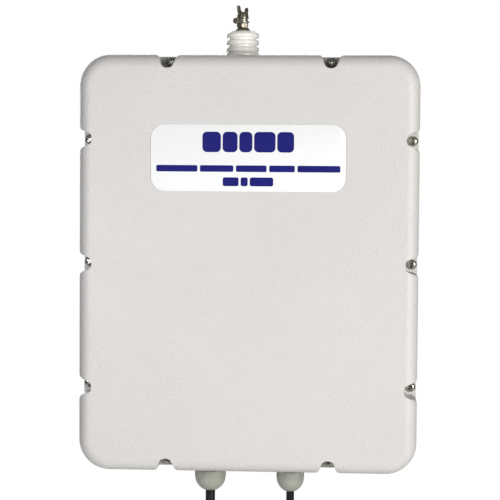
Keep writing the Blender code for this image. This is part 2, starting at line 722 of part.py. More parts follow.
def build_dome_nut(prefix, size, plastic, axis, start, outer_thread, seal_outer):
    """Faceted nut with a round dome, hollow for the thread and the seal."""
    corner = size["corner"]
    end = size["end"]
    dome = []
    steps = 4
    for i in range(steps + 1):
        angle = GLAND_DOME_SWEEP * i / steps
        inwards = (1.0 - math.cos(angle)) / (1.0 - math.cos(GLAND_DOME_SWEEP))
        downwards = math.sin(angle) / math.sin(GLAND_DOME_SWEEP)
        dome.append((corner - 0.0006 - (corner - 0.0006 - end) * inwards,
                     GLAND_DOME_START + (GLAND_END - GLAND_DOME_START) * downwards))
    seal_start = GLAND_THREAD_END + GAP
    thread_bore = clearing(outer_thread + GAP, GLAND_FACETS)
    seal_bore = clearing(seal_outer + GAP, GLAND_FACETS)
    cable_bore = clearing(size["cable"] + GAP, GLAND_FACETS)
    profile = [(thread_bore, start), (corner - 0.0004, start), (corner, start + 0.0006),
               (corner, GLAND_DOME_START - 0.0008)] + dome
    profile += [(cable_bore, GLAND_END), (cable_bore, GLAND_SEAL_END + 0.0006),
                (end, GLAND_SEAL_END + 0.0006), (seal_bore, seal_start + 0.0032),
                (seal_bore, seal_start), (thread_bore, seal_start - 0.0004)]
    bm = bmesh.new()
    add_turned(bm, profile, GLAND_FACETS, closed=True)
    make_object(f"{prefix}_gland_nut", bm, plastic, axis)


# --- Cables ------------------------------------------------------------------------

def smooth_route(points, spacing):
    """Points along a Catmull-Rom curve through a route, about spacing apart."""
    route = [Vector(point) for point in points]
    padded = [2 * route[0] - route[1]] + route + [2 * route[-1] - route[-2]]
    result = []
    for i in range(1, len(padded) - 2):
        before, start, end, after = padded[i - 1:i + 3]
        steps = max(1, round((end - start).length / spacing))
        for step in range(steps):
            t = step / steps
            result.append(0.5 * (2 * start + (end - before) * t
                                 + (2 * before - 5 * start + 4 * end - after) * t * t
                                 + (3 * start - before - 3 * end + after) * t ** 3))
    result.append(route[-1])
    return result


def build_cable(name, points, diameter, material):
    """Round cable as a curve with filled ends."""
    curve = bpy.data.curves.new(name, "CURVE")
    curve.dimensions = "3D"
    curve.bevel_depth = diameter / 2
    curve.bevel_resolution = 2
    curve.use_fill_caps = True
    route = smooth_route(points, 2.2 * diameter)
    spline = curve.splines.new("POLY")
    spline.points.add(len(route) - 1)
    for point, place in zip(spline.points, route):
        point.co = (*place, 1.0)
    curve.materials.append(material)
    obj = bpy.data.objects.new(name, curve)
    bpy.context.scene.collection.objects.link(obj)


def outermost_turn(diameter):
    """Radius of the coil's outermost turn of cable."""
    return COIL_TURN_RADIUS + math.sqrt(3.0) * diameter


def descent_route(gland_x, centre_x, diameter):
    """Straight down from the bottom wall, then over the coil towards its outermost turn."""
    outwards = math.copysign(1.0, gland_x)
    reach = BEND_RADIUS + outermost_turn(diameter)
    bend = math.acos((abs(gland_x) + BEND_RADIUS - abs(centre_x)) / reach)
    bend_top = COIL_Z + reach * math.sin(bend)
    straight = 4
    points = []
    for i in range(straight):
        z = -HALF_Z + (bend_top + HALF_Z) * i / straight
        points.append((gland_x, ENTRY_Y, z))
    steps = 5
    for i in range(steps + 1):
        share = BEND_SHARE * i / steps
        angle = bend * share
        blend = share * share * (3.0 - 2.0 * share)
        points.append((gland_x + outwards * BEND_RADIUS * (1.0 - math.cos(angle)),
                       ENTRY_Y + (COIL_Y - ENTRY_Y) * blend,
                       bend_top - BEND_RADIUS * math.sin(angle)))
    return points


def build_coil(prefix, centre_x, diameter, material, tie_material, tie_angle):
    """Turned ring that holds the coiled length, and the tie round it."""
    section = COIL_LAYERS * diameter
    axis = make_axis(f"{prefix}_coil_axis", (centre_x, COIL_Y, COIL_Z), (math.pi / 2, 0.0, 0.0))
    profile = []
    steps = 10
    for i in range(steps):
        angle = math.tau * i / steps
        profile.append((COIL_TURN_RADIUS + section * math.cos(angle), section * math.sin(angle)))
    bm = bmesh.new()
    add_turned(bm, profile, 32, closed=True)
    make_object(f"{prefix}_cable_coil", bm, material, axis)

    inner = section + 0.0006
    bm = bmesh.new()
    spot = Matrix.Rotation(tie_angle, 4, "Z") @ Matrix.Translation((COIL_TURN_RADIUS, 0.0, 0.0))
    add_tube(bm, inner, inner + TIE_THICKNESS, -TIE_WIDTH / 2, TIE_WIDTH / 2, 16,
             spot @ Matrix.Rotation(math.pi / 2, 4, "X"))
    make_object(f"{prefix}_cable_tie", bm, tie_material, axis)


def tail_route(centre_x, side, diameter):
    """Straight hanging end between the coil's outermost turn and the plug."""
    x = centre_x + side * outermost_turn(diameter)
    top = COIL_Z - TAIL_TOP
    return [(x, COIL_Y, top), (x, COIL_Y, top - TAIL_LENGTH / 2),
            (x, COIL_Y, top - TAIL_LENGTH)]


def build_control_plug(centre_x, plastic):
    """Four-way in-line plug with a round cable boot."""
    x, y, z = tail_route(centre_x, -1, CONTROL_CABLE)[-1]
    axis = make_axis("control_plug_axis", (x, y, z - GAP), (math.pi, 0.0, 0.0))
    levels = ((0.0, 0.0048, 0.0048), (0.0090, 0.0052, 0.0048), (0.0120, 0.0085, 0.0065),
              (0.0260, 0.0085, 0.0065), (0.0264, 0.0076, 0.0056), (0.0340, 0.0076, 0.0056))
    bm = bmesh.new()
    rings = []
    for height, half_x, half_y in levels:
        outline = rounded_outline(half_x, half_y, 0.0020 if height > 0.01 else 0.0044, 3)
        rings.append([(px, py, height) for px, py in outline])
    add_loft(bm, rings)
    make_object("control_plug", bm, plastic, axis)


def build_coax_plug(centre_x, metal):
    """Threaded coaxial plug: body with its pin, and the loose coupling ring round it."""
    x, y, z = tail_route(centre_x, 1, COAX_CABLE)[-1]
    axis = make_axis("coax_plug_axis", (x, y, z - GAP), (math.pi, 0.0, 0.0))
    bm = bmesh.new()
    add_turned(bm, [(0.0, 0.0), (0.0052, 0.0), (0.0052, 0.0030), (0.0058, 0.0034),
                    (0.0058, 0.0163), (0.0073, 0.0163), (0.0073, 0.0183), (0.0059, 0.0186),
                    (0.0059, 0.0270), (0.0020, 0.0270), (0.0020, 0.0366), (0.0012, 0.0378),
                    (0.0, 0.0378)], 20)
    make_object("coax_plug_body", bm, metal, axis)
    bm = bmesh.new()
    add_turned(bm, [(0.0062, 0.0100), (0.0086, 0.0100), (0.0092, 0.0106), (0.0092, 0.0314),
                    (0.0088, 0.0320), (0.0080, 0.0320), (0.0080, 0.0160), (0.0062, 0.0160)],
               24, closed=True)
    make_object("coax_plug_ring", bm, metal, axis)


# --- Electronics ---------------------------------------------------------------------

def build_board(material, steel):
    """Circuit board on the base's pillars, with its four screws."""
    middle = 0.5 * (BOARD_LOW + BOARD_HIGH)
    back = PILLAR_HEIGHT + GAP
    bm = bmesh.new()
    add_block(bm, (BOARD_WIDTH, BOARD_THICKNESS, BOARD_HIGH - BOARD_LOW),
              (0.0, -back - BOARD_THICKNESS / 2, middle))
    board = make_object("main_board", bm, material)
    bm = bmesh.new()
    for x in (-PILLAR_X, PILLAR_X):
        for z in (-PILLAR_Z, PILLAR_Z):
            add_rod(bm, 0.0018, back - 0.001, back + BOARD_THICKNESS + 0.001, 12,
                    at_front(x, 0.0, z))
    combine(board, make_cutter("board_holes", bm), "DIFFERENCE")
    number = 0
    for x in (-PILLAR_X, PILLAR_X):
        for z in (-PILLAR_Z, PILLAR_Z):
            number += 1
            bm = pan_screw_mesh(0.0015, 0.0075, 0.0028, 0.0018, 10)
            make_object(f"board_screw_{number}", bm, steel,
                        matrix=at_front(x, back + BOARD_THICKNESS + GAP, z))


def build_components(relay_plastic, ferrite, copper, terminal_plastic):
    """Relays, inductors and the cable terminals on the board."""
    face = PILLAR_HEIGHT + BOARD_THICKNESS + 2 * GAP
    for number, x in enumerate((-0.056, -0.018, 0.020), start=1):
        bm = bmesh.new()
        outline = rounded_outline(0.0145, 0.0065, 0.0008, 2)
        add_loft(bm, [[(px, py, 0.0) for px, py in outline],
                      [(px, py, 0.0200) for px, py in outline]])
        make_object(f"relay_{number}", bm, relay_plastic, matrix=at_front(x, face, -0.040))

    bm = bmesh.new()
    add_turned(bm, [(0.0120, 0.0008), (0.0128, 0.0), (0.0212, 0.0), (0.0220, 0.0008),
                    (0.0220, 0.0142), (0.0212, 0.0150), (0.0128, 0.0150), (0.0120, 0.0142)],
               24, closed=True)
    make_object("toroid_inductor", bm, ferrite, matrix=at_front(-0.045, face, 0.055))

    bm = bmesh.new()
    add_tube(bm, 0.0140, 0.0180, -0.034, 0.034, 20)
    make_object("air_coil", bm, copper,
                matrix=Matrix.Translation((0.038, -face - 0.0215, 0.045)))

    bm = bmesh.new()
    add_block(bm, (0.044, 0.011, 0.012), (0.0, 0.0, 0.006))
    make_object("terminal_block", bm, terminal_plastic, matrix=at_front(-0.010, face, -0.100))


def build_antenna_lead(material):
    """Insulated lead from the board to the inner end of the antenna stud."""
    face = PILLAR_HEIGHT + BOARD_THICKNESS + 2 * GAP
    top = HALF_Z - STUD_BELOW - GAP
    build_cable("antenna_lead", [
        (INSULATOR_X, ENTRY_Y, top), (INSULATOR_X, ENTRY_Y - 0.0008, top - 0.006),
        (INSULATOR_X + 0.0010, ENTRY_Y - 0.0060, top - 0.014),
        (INSULATOR_X + 0.0030, ENTRY_Y - 0.0110, top - 0.022),
        (INSULATOR_X + 0.0040, ENTRY_Y - 0.0090, top - 0.031),
        (INSULATOR_X + 0.0040, -face - 0.0010, top - 0.034),
    ], 0.0030, material)


# --- Assembly ----------------------------------------------------------------------

def main():
    for obj in list(bpy.data.objects):
        bpy.data.objects.remove(obj)

    case_plastic = make_material("case_plastic", (0.72, 0.71, 0.67), 0.45)
    label_white = make_material("label_white", (0.90, 0.90, 0.90), 0.35)
    steel = make_material("zinc_steel", (0.62, 0.62, 0.60), 0.30, 1.0)
    brass = make_material("plated_brass", (0.66, 0.62, 0.52), 0.28, 1.0)
    copper = make_material("tinned_copper", (0.70, 0.58, 0.48), 0.35, 1.0)
    ceramic = make_material("glazed_ceramic", (0.88, 0.87, 0.83), 0.15)
    gland_plastic = make_material("gland_plastic", (0.31, 0.32, 0.28), 0.50)
    rubber = make_material("black_rubber", (0.03, 0.03, 0.03), 0.70)
    sheath = make_material("cable_sheath", (0.02, 0.02, 0.02), 0.35)
    board_green = make_material("board_green", (0.03, 0.16, 0.07), 0.40)
    relay_plastic = make_material("relay_plastic", (0.05, 0.05, 0.06), 0.45)
    ferrite = make_material("painted_core", (0.55, 0.10, 0.06), 0.45)
    terminal_plastic = make_material("terminal_plastic", (0.05, 0.25, 0.12), 0.45)
    plug_plastic = make_material("plug_nylon", (0.75, 0.74, 0.68), 0.50)
    nickel = make_material("nickel_plate", (0.70, 0.69, 0.66), 0.22, 1.0)

    build_base(case_plastic)
    build_gasket(rubber)
    build_cover(case_plastic)
    build_label(label_white)
    build_screws(steel)
    build_antenna_terminal(ceramic, brass, steel, rubber, copper)
    build_earth_terminal(brass, steel)
    build_gland("control", -GLAND_X, CONTROL_GLAND, gland_plastic, rubber)
    build_gland("coax", GLAND_X, COAX_GLAND, gland_plastic, rubber)

    build_cable("control_cable", descent_route(-GLAND_X, CONTROL_COIL_X, CONTROL_CABLE),
                CONTROL_CABLE, sheath)
    build_cable("coax_cable", descent_route(GLAND_X, COAX_COIL_X, COAX_CABLE),
                COAX_CABLE, sheath)
    build_coil("control", CONTROL_COIL_X, CONTROL_CABLE, sheath, rubber, math.radians(115.0))
    build_coil("coax", COAX_COIL_X, COAX_CABLE, sheath, rubber, math.radians(65.0))
    build_cable("control_cable_tail", tail_route(CONTROL_COIL_X, -1, CONTROL_CABLE),
                CONTROL_CABLE, sheath)
    build_cable("coax_cable_tail", tail_route(COAX_COIL_X, 1, COAX_CABLE), COAX_CABLE, sheath)
    build_control_plug(CONTROL_COIL_X, plug_plastic)
    build_coax_plug(COAX_COIL_X, nickel)

    build_board(board_green, steel)
    build_components(relay_plastic, ferrite, copper, terminal_plastic)
    build_antenna_lead(rubber)


main()
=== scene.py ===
"""Looks of the weatherproof antenna tuner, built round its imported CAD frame.

Pieces are built in millimetres, and become metres when their mesh is made. A depth is
measured forwards from the case's back face, and Z upwards from the middle of the case.
"""

from math import acos, atan2, copysign, cos, pi, radians, sin, sqrt, tan, tau
from random import Random

import bmesh
import bpy
from mathutils import Matrix, Vector


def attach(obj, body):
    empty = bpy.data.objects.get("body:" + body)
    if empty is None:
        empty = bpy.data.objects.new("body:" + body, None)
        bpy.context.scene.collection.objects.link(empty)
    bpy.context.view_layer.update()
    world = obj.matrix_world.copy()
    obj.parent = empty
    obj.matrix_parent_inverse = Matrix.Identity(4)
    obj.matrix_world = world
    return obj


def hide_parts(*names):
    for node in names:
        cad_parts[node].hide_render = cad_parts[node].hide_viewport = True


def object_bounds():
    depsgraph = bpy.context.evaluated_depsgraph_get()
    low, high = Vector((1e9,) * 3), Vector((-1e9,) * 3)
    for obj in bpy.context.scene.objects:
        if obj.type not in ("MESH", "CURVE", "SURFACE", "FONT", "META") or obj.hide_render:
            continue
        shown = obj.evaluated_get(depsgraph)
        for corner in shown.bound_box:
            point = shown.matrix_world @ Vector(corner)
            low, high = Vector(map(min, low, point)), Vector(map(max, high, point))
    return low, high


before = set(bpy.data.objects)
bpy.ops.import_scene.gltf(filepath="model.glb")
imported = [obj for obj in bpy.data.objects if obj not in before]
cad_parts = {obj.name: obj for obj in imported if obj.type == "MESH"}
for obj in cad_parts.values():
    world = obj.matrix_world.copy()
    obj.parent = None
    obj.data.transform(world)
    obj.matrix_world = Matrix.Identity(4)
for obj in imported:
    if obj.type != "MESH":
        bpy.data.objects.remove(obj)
CAD_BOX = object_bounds()

# --- Dimensions, in millimetres ---

MM = 0.001
GAP = 0.3
HALF_X, HALF_Z, CASE_DEPTH = 120, 147.5, 70
CORNER_RADIUS, CORNER_STEPS = 22, 16
PARTING = 36
FRONT_ROLL, BACK_ROLL = 9, 3
WALL, COVER_WALL, POCKET_WALL = 3.5, 3, 2.5
FLANGE_WIDTH, FLANGE_FRONT, LEDGE = 14.5, PARTING + GAP, 40
SIDE_SCREWS, END_SCREWS, SCREW_INSET = (-88, 0, 88), (-57.5, 57.5), 4
POCKET_RADIUS, POCKET_FLARE, POCKET_THROAT, RIM_WIDTH = 5.6, 1.5, 3.2, 2
LABEL_HALF_X, LABEL_HALF_Z, LABEL_RADIUS, LABEL_Z = 68.5, 23.5, 10, 75
LABEL_FACE, LABEL_SINK = 70.15, 0.3
MOUNTS = [(x, z) for x in (-80, 80) for z in (-115, 115)]
PILLARS = [(x, z) for x in (-88, 88) for z in (-100, 100)]
BOARD_FACE, BOARD_THICKNESS, BOARD_HALF_X = 14.2, 1.6, 95
BOARD_HALF_Z, BOARD_Z = 119, -1
ENTRY_Y = -17
STUD_RADIUS, STUD_BORE, THREAD_PITCH = 2.5, 2.8, 0.8
INSULATOR_X, INSULATOR_HEIGHT = -8, 20
WING_TURN, LUG_TURN, EARTH_TURN = radians(74), radians(-18), radians(8)
EARTH_Y = -10.5
GLAND_X, GLAND_PITCH, DOME_SWEEP = 29.5, 1.5, radians(55)
CONTROL_CABLE, COAX_CABLE = 7, 5.8
COIL_RADIUS, COIL_Y, COIL_Z = 41.5, -20, -282
CONTROL_COIL_X, COAX_COIL_X = -57.8, 57.7
BEND_RADIUS = 39
TAIL_LENGTH, TAIL_POINTS, TURN_POINTS = 55, 8, 48
IDENTITY = Matrix.Identity(4)
FORWARD = Matrix.Rotation(pi / 2, 4, "X")
UPSIDE_DOWN = Matrix.Rotation(pi, 4, "X")


def moved(x, y, z):
    return Matrix.Translation((x, y, z))


def spun(angle):
    return Matrix.Rotation(angle, 4, "Z")


def at_front(x, depth, z):
    """Local Z out of the front, from a point at a depth."""
    return moved(x, -depth, z) @ FORWARD


def polar(radius, angle, height=0):
    return radius * cos(angle), radius * sin(angle), height


def add_object(name, data):
    thing = bpy.data.objects.new(name, data)
    bpy.context.scene.collection.objects.link(thing)
    return thing


def bare_mesh(bm, name):
    mesh = bpy.data.meshes.new(name)
    bm.to_mesh(mesh)
    bm.free()
    return mesh


# --- Materials ---

def set_sockets(node, values):
    for socket, value in values.items():
        node.inputs[socket].default_value = value


def noise_node(tree, coordinates, scale, detail):
    node = tree.nodes.new("ShaderNodeTexNoise")
    set_sockets(node, {"Scale": scale, "Detail": detail, "Roughness": 0.55})
    tree.links.new(coordinates, node.inputs["Vector"])
    return node.outputs["Fac"]


def mapped(tree, value, low, high):
    """The middle of a noise's range, spread from low to high."""
    node = tree.nodes.new("ShaderNodeMapRange")
    set_sockets(node, {"From Min": 0.3, "From Max": 0.7, "To Min": low, "To Max": high})
    tree.links.new(value, node.inputs["Value"])
    return node.outputs["Result"]


def surface(name, colour, tint, roughness, metallic, patch, grain, bump, spread=0.06, coat=0,
            specular=0.5):
    """Principled material whose colour, roughness and relief vary with the object's position.

    Large soft patches, patch of them to a metre, drift towards the tint and change the
    roughness by spread. The relief is grain to a metre and bump high, in micrometres.
    """
    material = bpy.data.materials.new(name)
    material.use_nodes = True
    tree = material.node_tree
    link = tree.links.new
    shader = tree.nodes["Principled BSDF"]
    set_sockets(shader, {"Metallic": metallic, "Specular IOR Level": specular})
    if coat:
        set_sockets(shader, {"Coat Weight": coat, "Coat Roughness": 0.08})
    place = tree.nodes.new("ShaderNodeTexCoord").outputs["Object"]
    patches = noise_node(tree, place, patch, 3)
    fine = noise_node(tree, place, grain, 2)
    mix = tree.nodes.new("ShaderNodeMix")
    mix.data_type = "RGBA"
    set_sockets(mix, {"A": (*colour, 1), "B": (*(tint or [c * 0.88 for c in colour]), 1)})
    blend = tree.nodes.new("ShaderNodeMath")
    blend.operation = "ADD"
    blend.use_clamp = True
    link(mapped(tree, patches, 0, 0.75), blend.inputs[0])
    link(mapped(tree, fine, 0, 0.25), blend.inputs[1])
    link(blend.outputs[0], mix.inputs["Factor"])
    link(mix.outputs["Result"], shader.inputs["Base Color"])
    link(mapped(tree, patches, roughness - spread, roughness + spread),
         shader.inputs["Roughness"])
    relief = tree.nodes.new("ShaderNodeBump")
    set_sockets(relief, {"Strength": 0.6, "Distance": bump * 1e-6})
    link(fine, relief.inputs["Height"])
    link(relief.outputs["Normal"], shader.inputs["Normal"])
    return material


# Look, then what surface() takes: name, colour, tint, roughness, metallic, patch, grain,
# bump, and where they aren't the usual ones spread, coat and specular.
MATERIALS = {look: surface(*row) for look, *row in (
    ("case_plastic", "moulded_case", (0.675, 0.655, 0.635), (0.635, 0.615, 0.595), 0.46, 0,
     9, 650, 600, 0.05),
    ("gasket", "olive_gasket", (0.115, 0.125, 0.08), None, 0.62, 0, 25, 2200, 40),
    ("label", "printed_plate", (0.9, 0.9, 0.905), (0.885, 0.885, 0.89), 0.4, 0,
     40, 2600, 10, 0.01, 0, 0.25),
    ("ink", "navy_ink", (0.008, 0.009, 0.155), (0.01, 0.011, 0.17), 0.5, 0,
     25, 3000, 10, 0.06, 0, 0.12),
    ("steel", "zinc_plate", (0.62, 0.61, 0.55), (0.3, 0.29, 0.24), 0.22, 1, 420, 3500, 15),
    ("brass", "dull_nickel_brass", (0.5, 0.47, 0.38), (0.24, 0.22, 0.16), 0.27, 1,
     330, 2600, 30, 0.1),
    ("tinned_copper", "tinned_copper", (0.66, 0.62, 0.54), (0.42, 0.36, 0.28), 0.32, 1,
     300, 2500, 20),
    ("bare_copper", "copper_wire", (0.86, 0.47, 0.29), (0.6, 0.27, 0.14), 0.22, 1,
     160, 2500, 10),
    ("ceramic", "glazed_ceramic", (0.97, 0.96, 0.9), (0.95, 0.935, 0.86), 0.22, 0,
     120, 800, 20, 0.05, 0.4),
    ("gland_plastic", "grey_polyamide", (0.41, 0.415, 0.36), (0.35, 0.355, 0.3), 0.4, 0,
     150, 2600, 50),
    ("rubber", "black_rubber", (0.028, 0.028, 0.027), (0.04, 0.04, 0.038), 0.62, 0,
     200, 3000, 40),
    ("cable_sheath", "pvc_sheath", (0.007, 0.007, 0.008), (0.013, 0.013, 0.014), 0.22, 0,
     120, 1800, 30, 0.07),
    ("tie_nylon", "black_nylon", (0.022, 0.022, 0.022), None, 0.4, 0, 25, 1800, 30),
    ("plug_nylon", "natural_nylon", (0.74, 0.72, 0.64), (0.67, 0.64, 0.55), 0.42, 0,
     90, 2000, 30),
    ("nickel", "nickel_plate", (0.7, 0.68, 0.63), (0.56, 0.54, 0.49), 0.17, 1, 260, 2600, 10),
    ("circuit_board", "solder_mask", (0.012, 0.115, 0.045), (0.018, 0.16, 0.06), 0.28, 0,
     60, 1400, 20, 0.06, 0.4),
    ("board_track", "covered_track", (0.02, 0.2, 0.075), None, 0.3, 0,
     60, 1400, 20, 0.06, 0.4),
    ("solder", "solder", (0.72, 0.72, 0.72), None, 0.25, 1, 500, 2500, 20),
    ("relay_plastic", "relay_case", (0.02, 0.021, 0.024), None, 0.34, 0, 120, 2500, 30),
    ("chip_plastic", "epoxy", (0.03, 0.03, 0.032), None, 0.5, 0, 300, 3000, 30),
    ("painted_core", "enamelled_core", (0.52, 0.075, 0.045), (0.42, 0.05, 0.03), 0.36, 0,
     140, 900, 60),
    ("terminal_plastic", "green_polyamide", (0.03, 0.22, 0.09), (0.025, 0.18, 0.07), 0.42, 0,
     140, 2200, 20),
    ("resistor", "resistor_body", (0.62, 0.52, 0.36), None, 0.45, 0, 250, 2500, 20),
    ("capacitor", "capacitor_body", (0.75, 0.42, 0.1), None, 0.38, 0, 250, 2500, 20),
)}


# --- Mesh building ---

def mesh_from(bm, name, sharp=38):
    """Smoothly shaded mesh in metres."""
    bmesh.ops.recalc_face_normals(bm, faces=bm.faces)
    mesh = bare_mesh(bm, name)
    mesh.transform(Matrix.Scale(MM, 4))
    mesh.shade_smooth()
    mesh.set_sharp_from_angle(angle=radians(sharp))
    return mesh


def place_piece(name, data, look, *replaces, body="case", matrix=IDENTITY):
    """Piece from mesh or curve data, on its body, in place of the CAD nodes it replaces."""
    piece = add_object(name, data)
    data.materials.append(MATERIALS[look])
    place = matrix.copy()
    place.translation *= MM
    piece.matrix_world = place
    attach(piece, body)
    if replaces:
        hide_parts(*replaces)
    return piece


def finish_mesh(name, bm, look, *replaces, sharp=38, **placing):
    return place_piece(name, mesh_from(bm, name, sharp), look, *replaces, **placing)


def bridge(bm, first, second):
    """Quads between two rings of equally many vertices."""
    for i, vert in enumerate(first):
        j = (i + 1) % len(first)
        bm.faces.new((vert, first[j], second[j], second[i]))


def add_rows(bm, rows, matrix=IDENTITY, start=True, end=True, closed=False):
    """Skin over rings of points, filled at its start and end unless the last meets the first."""
    grid = [[bm.verts.new(matrix @ Vector(point)) for point in row] for row in rows]
    for first, second in zip(grid, grid[1:]):
        bridge(bm, first, second)
    if closed:
        bridge(bm, grid[-1], grid[0])
        return grid
    if start:
        bm.faces.new(grid[0][::-1])
    if end:
        bm.faces.new(grid[-1])
    return grid


def rounded(points, closed=True, steps=4):
    """Outline with arcs at its corners, from (x, y) or (x, y, radius) corners."""
    result = []
    count = len(points)
    for i, (x, y, *radius) in enumerate(points):
        if not any(radius) or (not closed and i in (0, count - 1)):
            result.append((x, y))
            continue
        here = Vector((x, y))
        before = Vector(points[i - 1][:2]) - here
        after = Vector(points[(i + 1) % count][:2]) - here
        half = 0.5 * before.angle(after)
        reach = min(radius[0] / tan(half), 0.49 * before.length, 0.49 * after.length)
        arc = reach * tan(half)
        before, after = before.normalized(), after.normalized()
        centre = here + (before + after).normalized() * (arc / sin(half))
        start = here + before * reach - centre
        end = here + after * reach - centre
        sweep = start.angle_signed(end)
        for k in range(steps + 1):
            turn = start.copy()
            turn.rotate(Matrix.Rotation(-sweep * k / steps, 2))
            result.append(tuple(centre + turn))
    return result


def band(inner, outer, low, high, inner_edge=0.2, outer_edge=0.3):
    """Profile of a washer, or of a disc where inner is 0, with its corners rounded."""
    return [(inner, low, inner_edge), (outer, low, outer_edge), (outer, high, outer_edge),
            (inner, high, inner_edge)]


def add_turned(bm, corners, segments=64, matrix=IDENTITY, steps=4, shape=None):
    """Body turned about local Z from (radius, height, fillet) corners.

    A profile that starts on the axis is a solid's, any other a ring's. shape(angle, radius,
    height) may change the radius, as for facets or knurling.
    """
    closed = corners[0][0] > 0
    rows = []
    for radius, height in rounded(corners, closed, steps):
        angles = [tau * i / segments for i in range(segments)]
        rows.append([polar(shape(angle, radius, height) if shape else radius, angle, height)
                     for angle in angles])
    add_rows(bm, rows, matrix, False, False, closed)
    if not closed:
        bmesh.ops.remove_doubles(bm, verts=bm.verts, dist=0.0001)


def turned(name, corners, look, *replaces, segments=64, shape=None, **placing):
    bm = bmesh.new()
    add_turned(bm, corners, segments, shape=shape)
    return finish_mesh(name, bm, look, *replaces, **placing)


def box_outline(half_x, half_y, radius, steps=5):
    """Rounded rectangle, anticlockwise."""
    return rounded([(half_x, -half_y, radius), (half_x, half_y, radius),
                    (-half_x, half_y, radius), (-half_x, -half_y, radius)], True, steps)


def circle(radius, count=24):
    return [polar(radius, tau * k / count)[:2] for k in range(count)]


def flat_ring(bm, outline, depth, x=0, z=0):
    """Vertices of an outline that faces forwards."""
    return [bm.verts.new((x + across, -depth, z + up)) for across, up in outline]


def add_slab(bm, outline, low, high, edge, matrix=IDENTITY):
    """Prism over an outline about the origin, with rounded rims of radius edge."""
    size = max(max(abs(x), abs(y)) for x, y in outline)
    levels = []
    for i in range(4):
        angle = pi / 2 * i / 3
        levels.append((low + edge * (1 - cos(angle)),
                       1 - edge * (1 - sin(angle)) / size))
    levels += [(low + high - level, shrink) for level, shrink in reversed(levels)]
    add_rows(bm, [[(x * shrink, y * shrink, level) for x, y in outline]
                  for level, shrink in levels], matrix)


def add_box(bm, size, centre=(0, 0, 0), edge=0.3, matrix=IDENTITY, corner=None):
    """Block with rounded corners and rims; local Z is its height."""
    outline = box_outline(size[0] / 2, size[1] / 2, corner or 2 * edge, 3)
    add_slab(bm, outline, -size[2] / 2, size[2] / 2, edge, matrix @ moved(*centre))


def add_sweep(bm, path, radius, sides, matrix=IDENTITY):
    """Round bar along a path of points."""
    path = [matrix @ Vector(point) for point in path]
    tangents = [(path[min(i + 1, len(path) - 1)] - path[max(i - 1, 0)]).normalized()
                for i in range(len(path))]
    normal = tangents[0].orthogonal().normalized()
    rows = []
    for point, tangent in zip(path, tangents):
        normal = (normal - tangent * normal.dot(tangent)).normalized()
        side = tangent.cross(normal)
        rows.append([point + x * normal + y * side for x, y in circle(radius, sides)])
    add_rows(bm, rows)


def add_thread(bm, radius, pitch, start, end, segments, per_turn, matrix=IDENTITY):
    """Threaded rod about local Z, with a chamfered tip at each end."""
    cut = 0.55 * pitch
    count = max(2, round((end - start) / pitch * per_turn))
    rows = []
    for k in range(count + 1):
        height = start + (end - start) * k / count
        limit = radius - cut + min(cut, height - start, end - height)
        row = []
        for i in range(segments):
            phase = (height / pitch - i / segments) % 1
            crest = min(1, max(0, 2.6 * abs(phase - 0.5) - 0.15))
            row.append(polar(min(limit, radius - cut * crest), tau * i / segments, height))
        rows.append(row)
    add_rows(bm, rows, matrix)


# --- Camera, light and floor, in metres ---

def build_camera():
    yaw, pitch, roll = radians(3.445), radians(2.733), radians(0.401)
    data = bpy.data.cameras.new("camera")
    data.sensor_width = 36
    data.lens = 3.39 * data.sensor_width
    data.shift_y = 0.001
    data.clip_end = 20
    camera = add_object("camera", data)
    camera.matrix_world = (moved(0.0732, -1.2563, 0.067) @ spun(yaw)
                           @ Matrix.Rotation(pi / 2 - pitch, 4, "X") @ spun(roll))
    bpy.context.scene.camera = camera


def add_area(name, place, aim, size, power, colour=(1, 1, 1)):
    data = bpy.data.lights.new(name, "AREA")
    data.shape = "RECTANGLE"
    data.size, data.size_y = size
    data.energy = power
    data.color = colour
    light = add_object(name, data)
    direction = (Vector(aim) - Vector(place)).to_track_quat("-Z", "Y")
    light.matrix_world = moved(*place) @ direction.to_matrix().to_4x4()
    light.visible_camera = False


def build_studio():
    scene = bpy.context.scene
    scene.view_settings.view_transform = "Standard"
    world = bpy.data.worlds.new("studio")
    world.use_nodes = True
    nodes, link = world.node_tree.nodes, world.node_tree.links.new
    lit = nodes["Background"]
    set_sockets(lit, {"Color": (0.93, 0.95, 1, 1), "Strength": 0.15})
    plain = nodes.new("ShaderNodeBackground")
    set_sockets(plain, {"Color": (1, 1, 1, 1)})
    mix = nodes.new("ShaderNodeMixShader")
    link(nodes.new("ShaderNodeLightPath").outputs["Is Camera Ray"], mix.inputs[0])
    link(lit.outputs[0], mix.inputs[1])
    link(plain.outputs[0], mix.inputs[2])
    link(mix.outputs[0], nodes["World Output"].inputs["Surface"])
    scene.world = world
    add_area("key", (0.85, -1.05, 0.05), (0, -0.05, 0), (0.6, 0.6), 12.5, (1, 0.99, 0.97))
    add_area("fill", (-0.3, -0.75, 0), (0, -0.05, 0), (0.2, 0.2), 1.85, (0.97, 0.98, 1))
    add_area("back", (-0.5, 1.2, 0.5), (0, 0, -0.2), (1.2, 1), 14)
    # A faint card above the camera, for the screws in the top pockets to reflect.
    add_area("card", (-0.05, -1.1, 0.24), (-0.05, -0.06, 0.14), (0.6, 0.16), 0.5)


def build_floor(low):
    """Pale round-edged floor sheet below the hanging coils."""
    bm = bmesh.new()
    add_slab(bm, box_outline(0.9, 0.7, 0.2, 12), -0.004, 0, 0.001)
    mesh = bare_mesh(bm, "floor")
    mesh.materials.append(surface("pale_floor", (0.86, 0.86, 0.85), None, 0.6, 0, 3, 300, 100))
    floor = add_object("floor", mesh)
    floor.location = (0, 0, low)


# --- Case ---

def smooth_max(a, b, width):
    """The larger number, eased over a width where the two are close."""
    reach = max(width - abs(a - b), 0) / width
    return max(a, b) + 0.25 * width * reach * reach


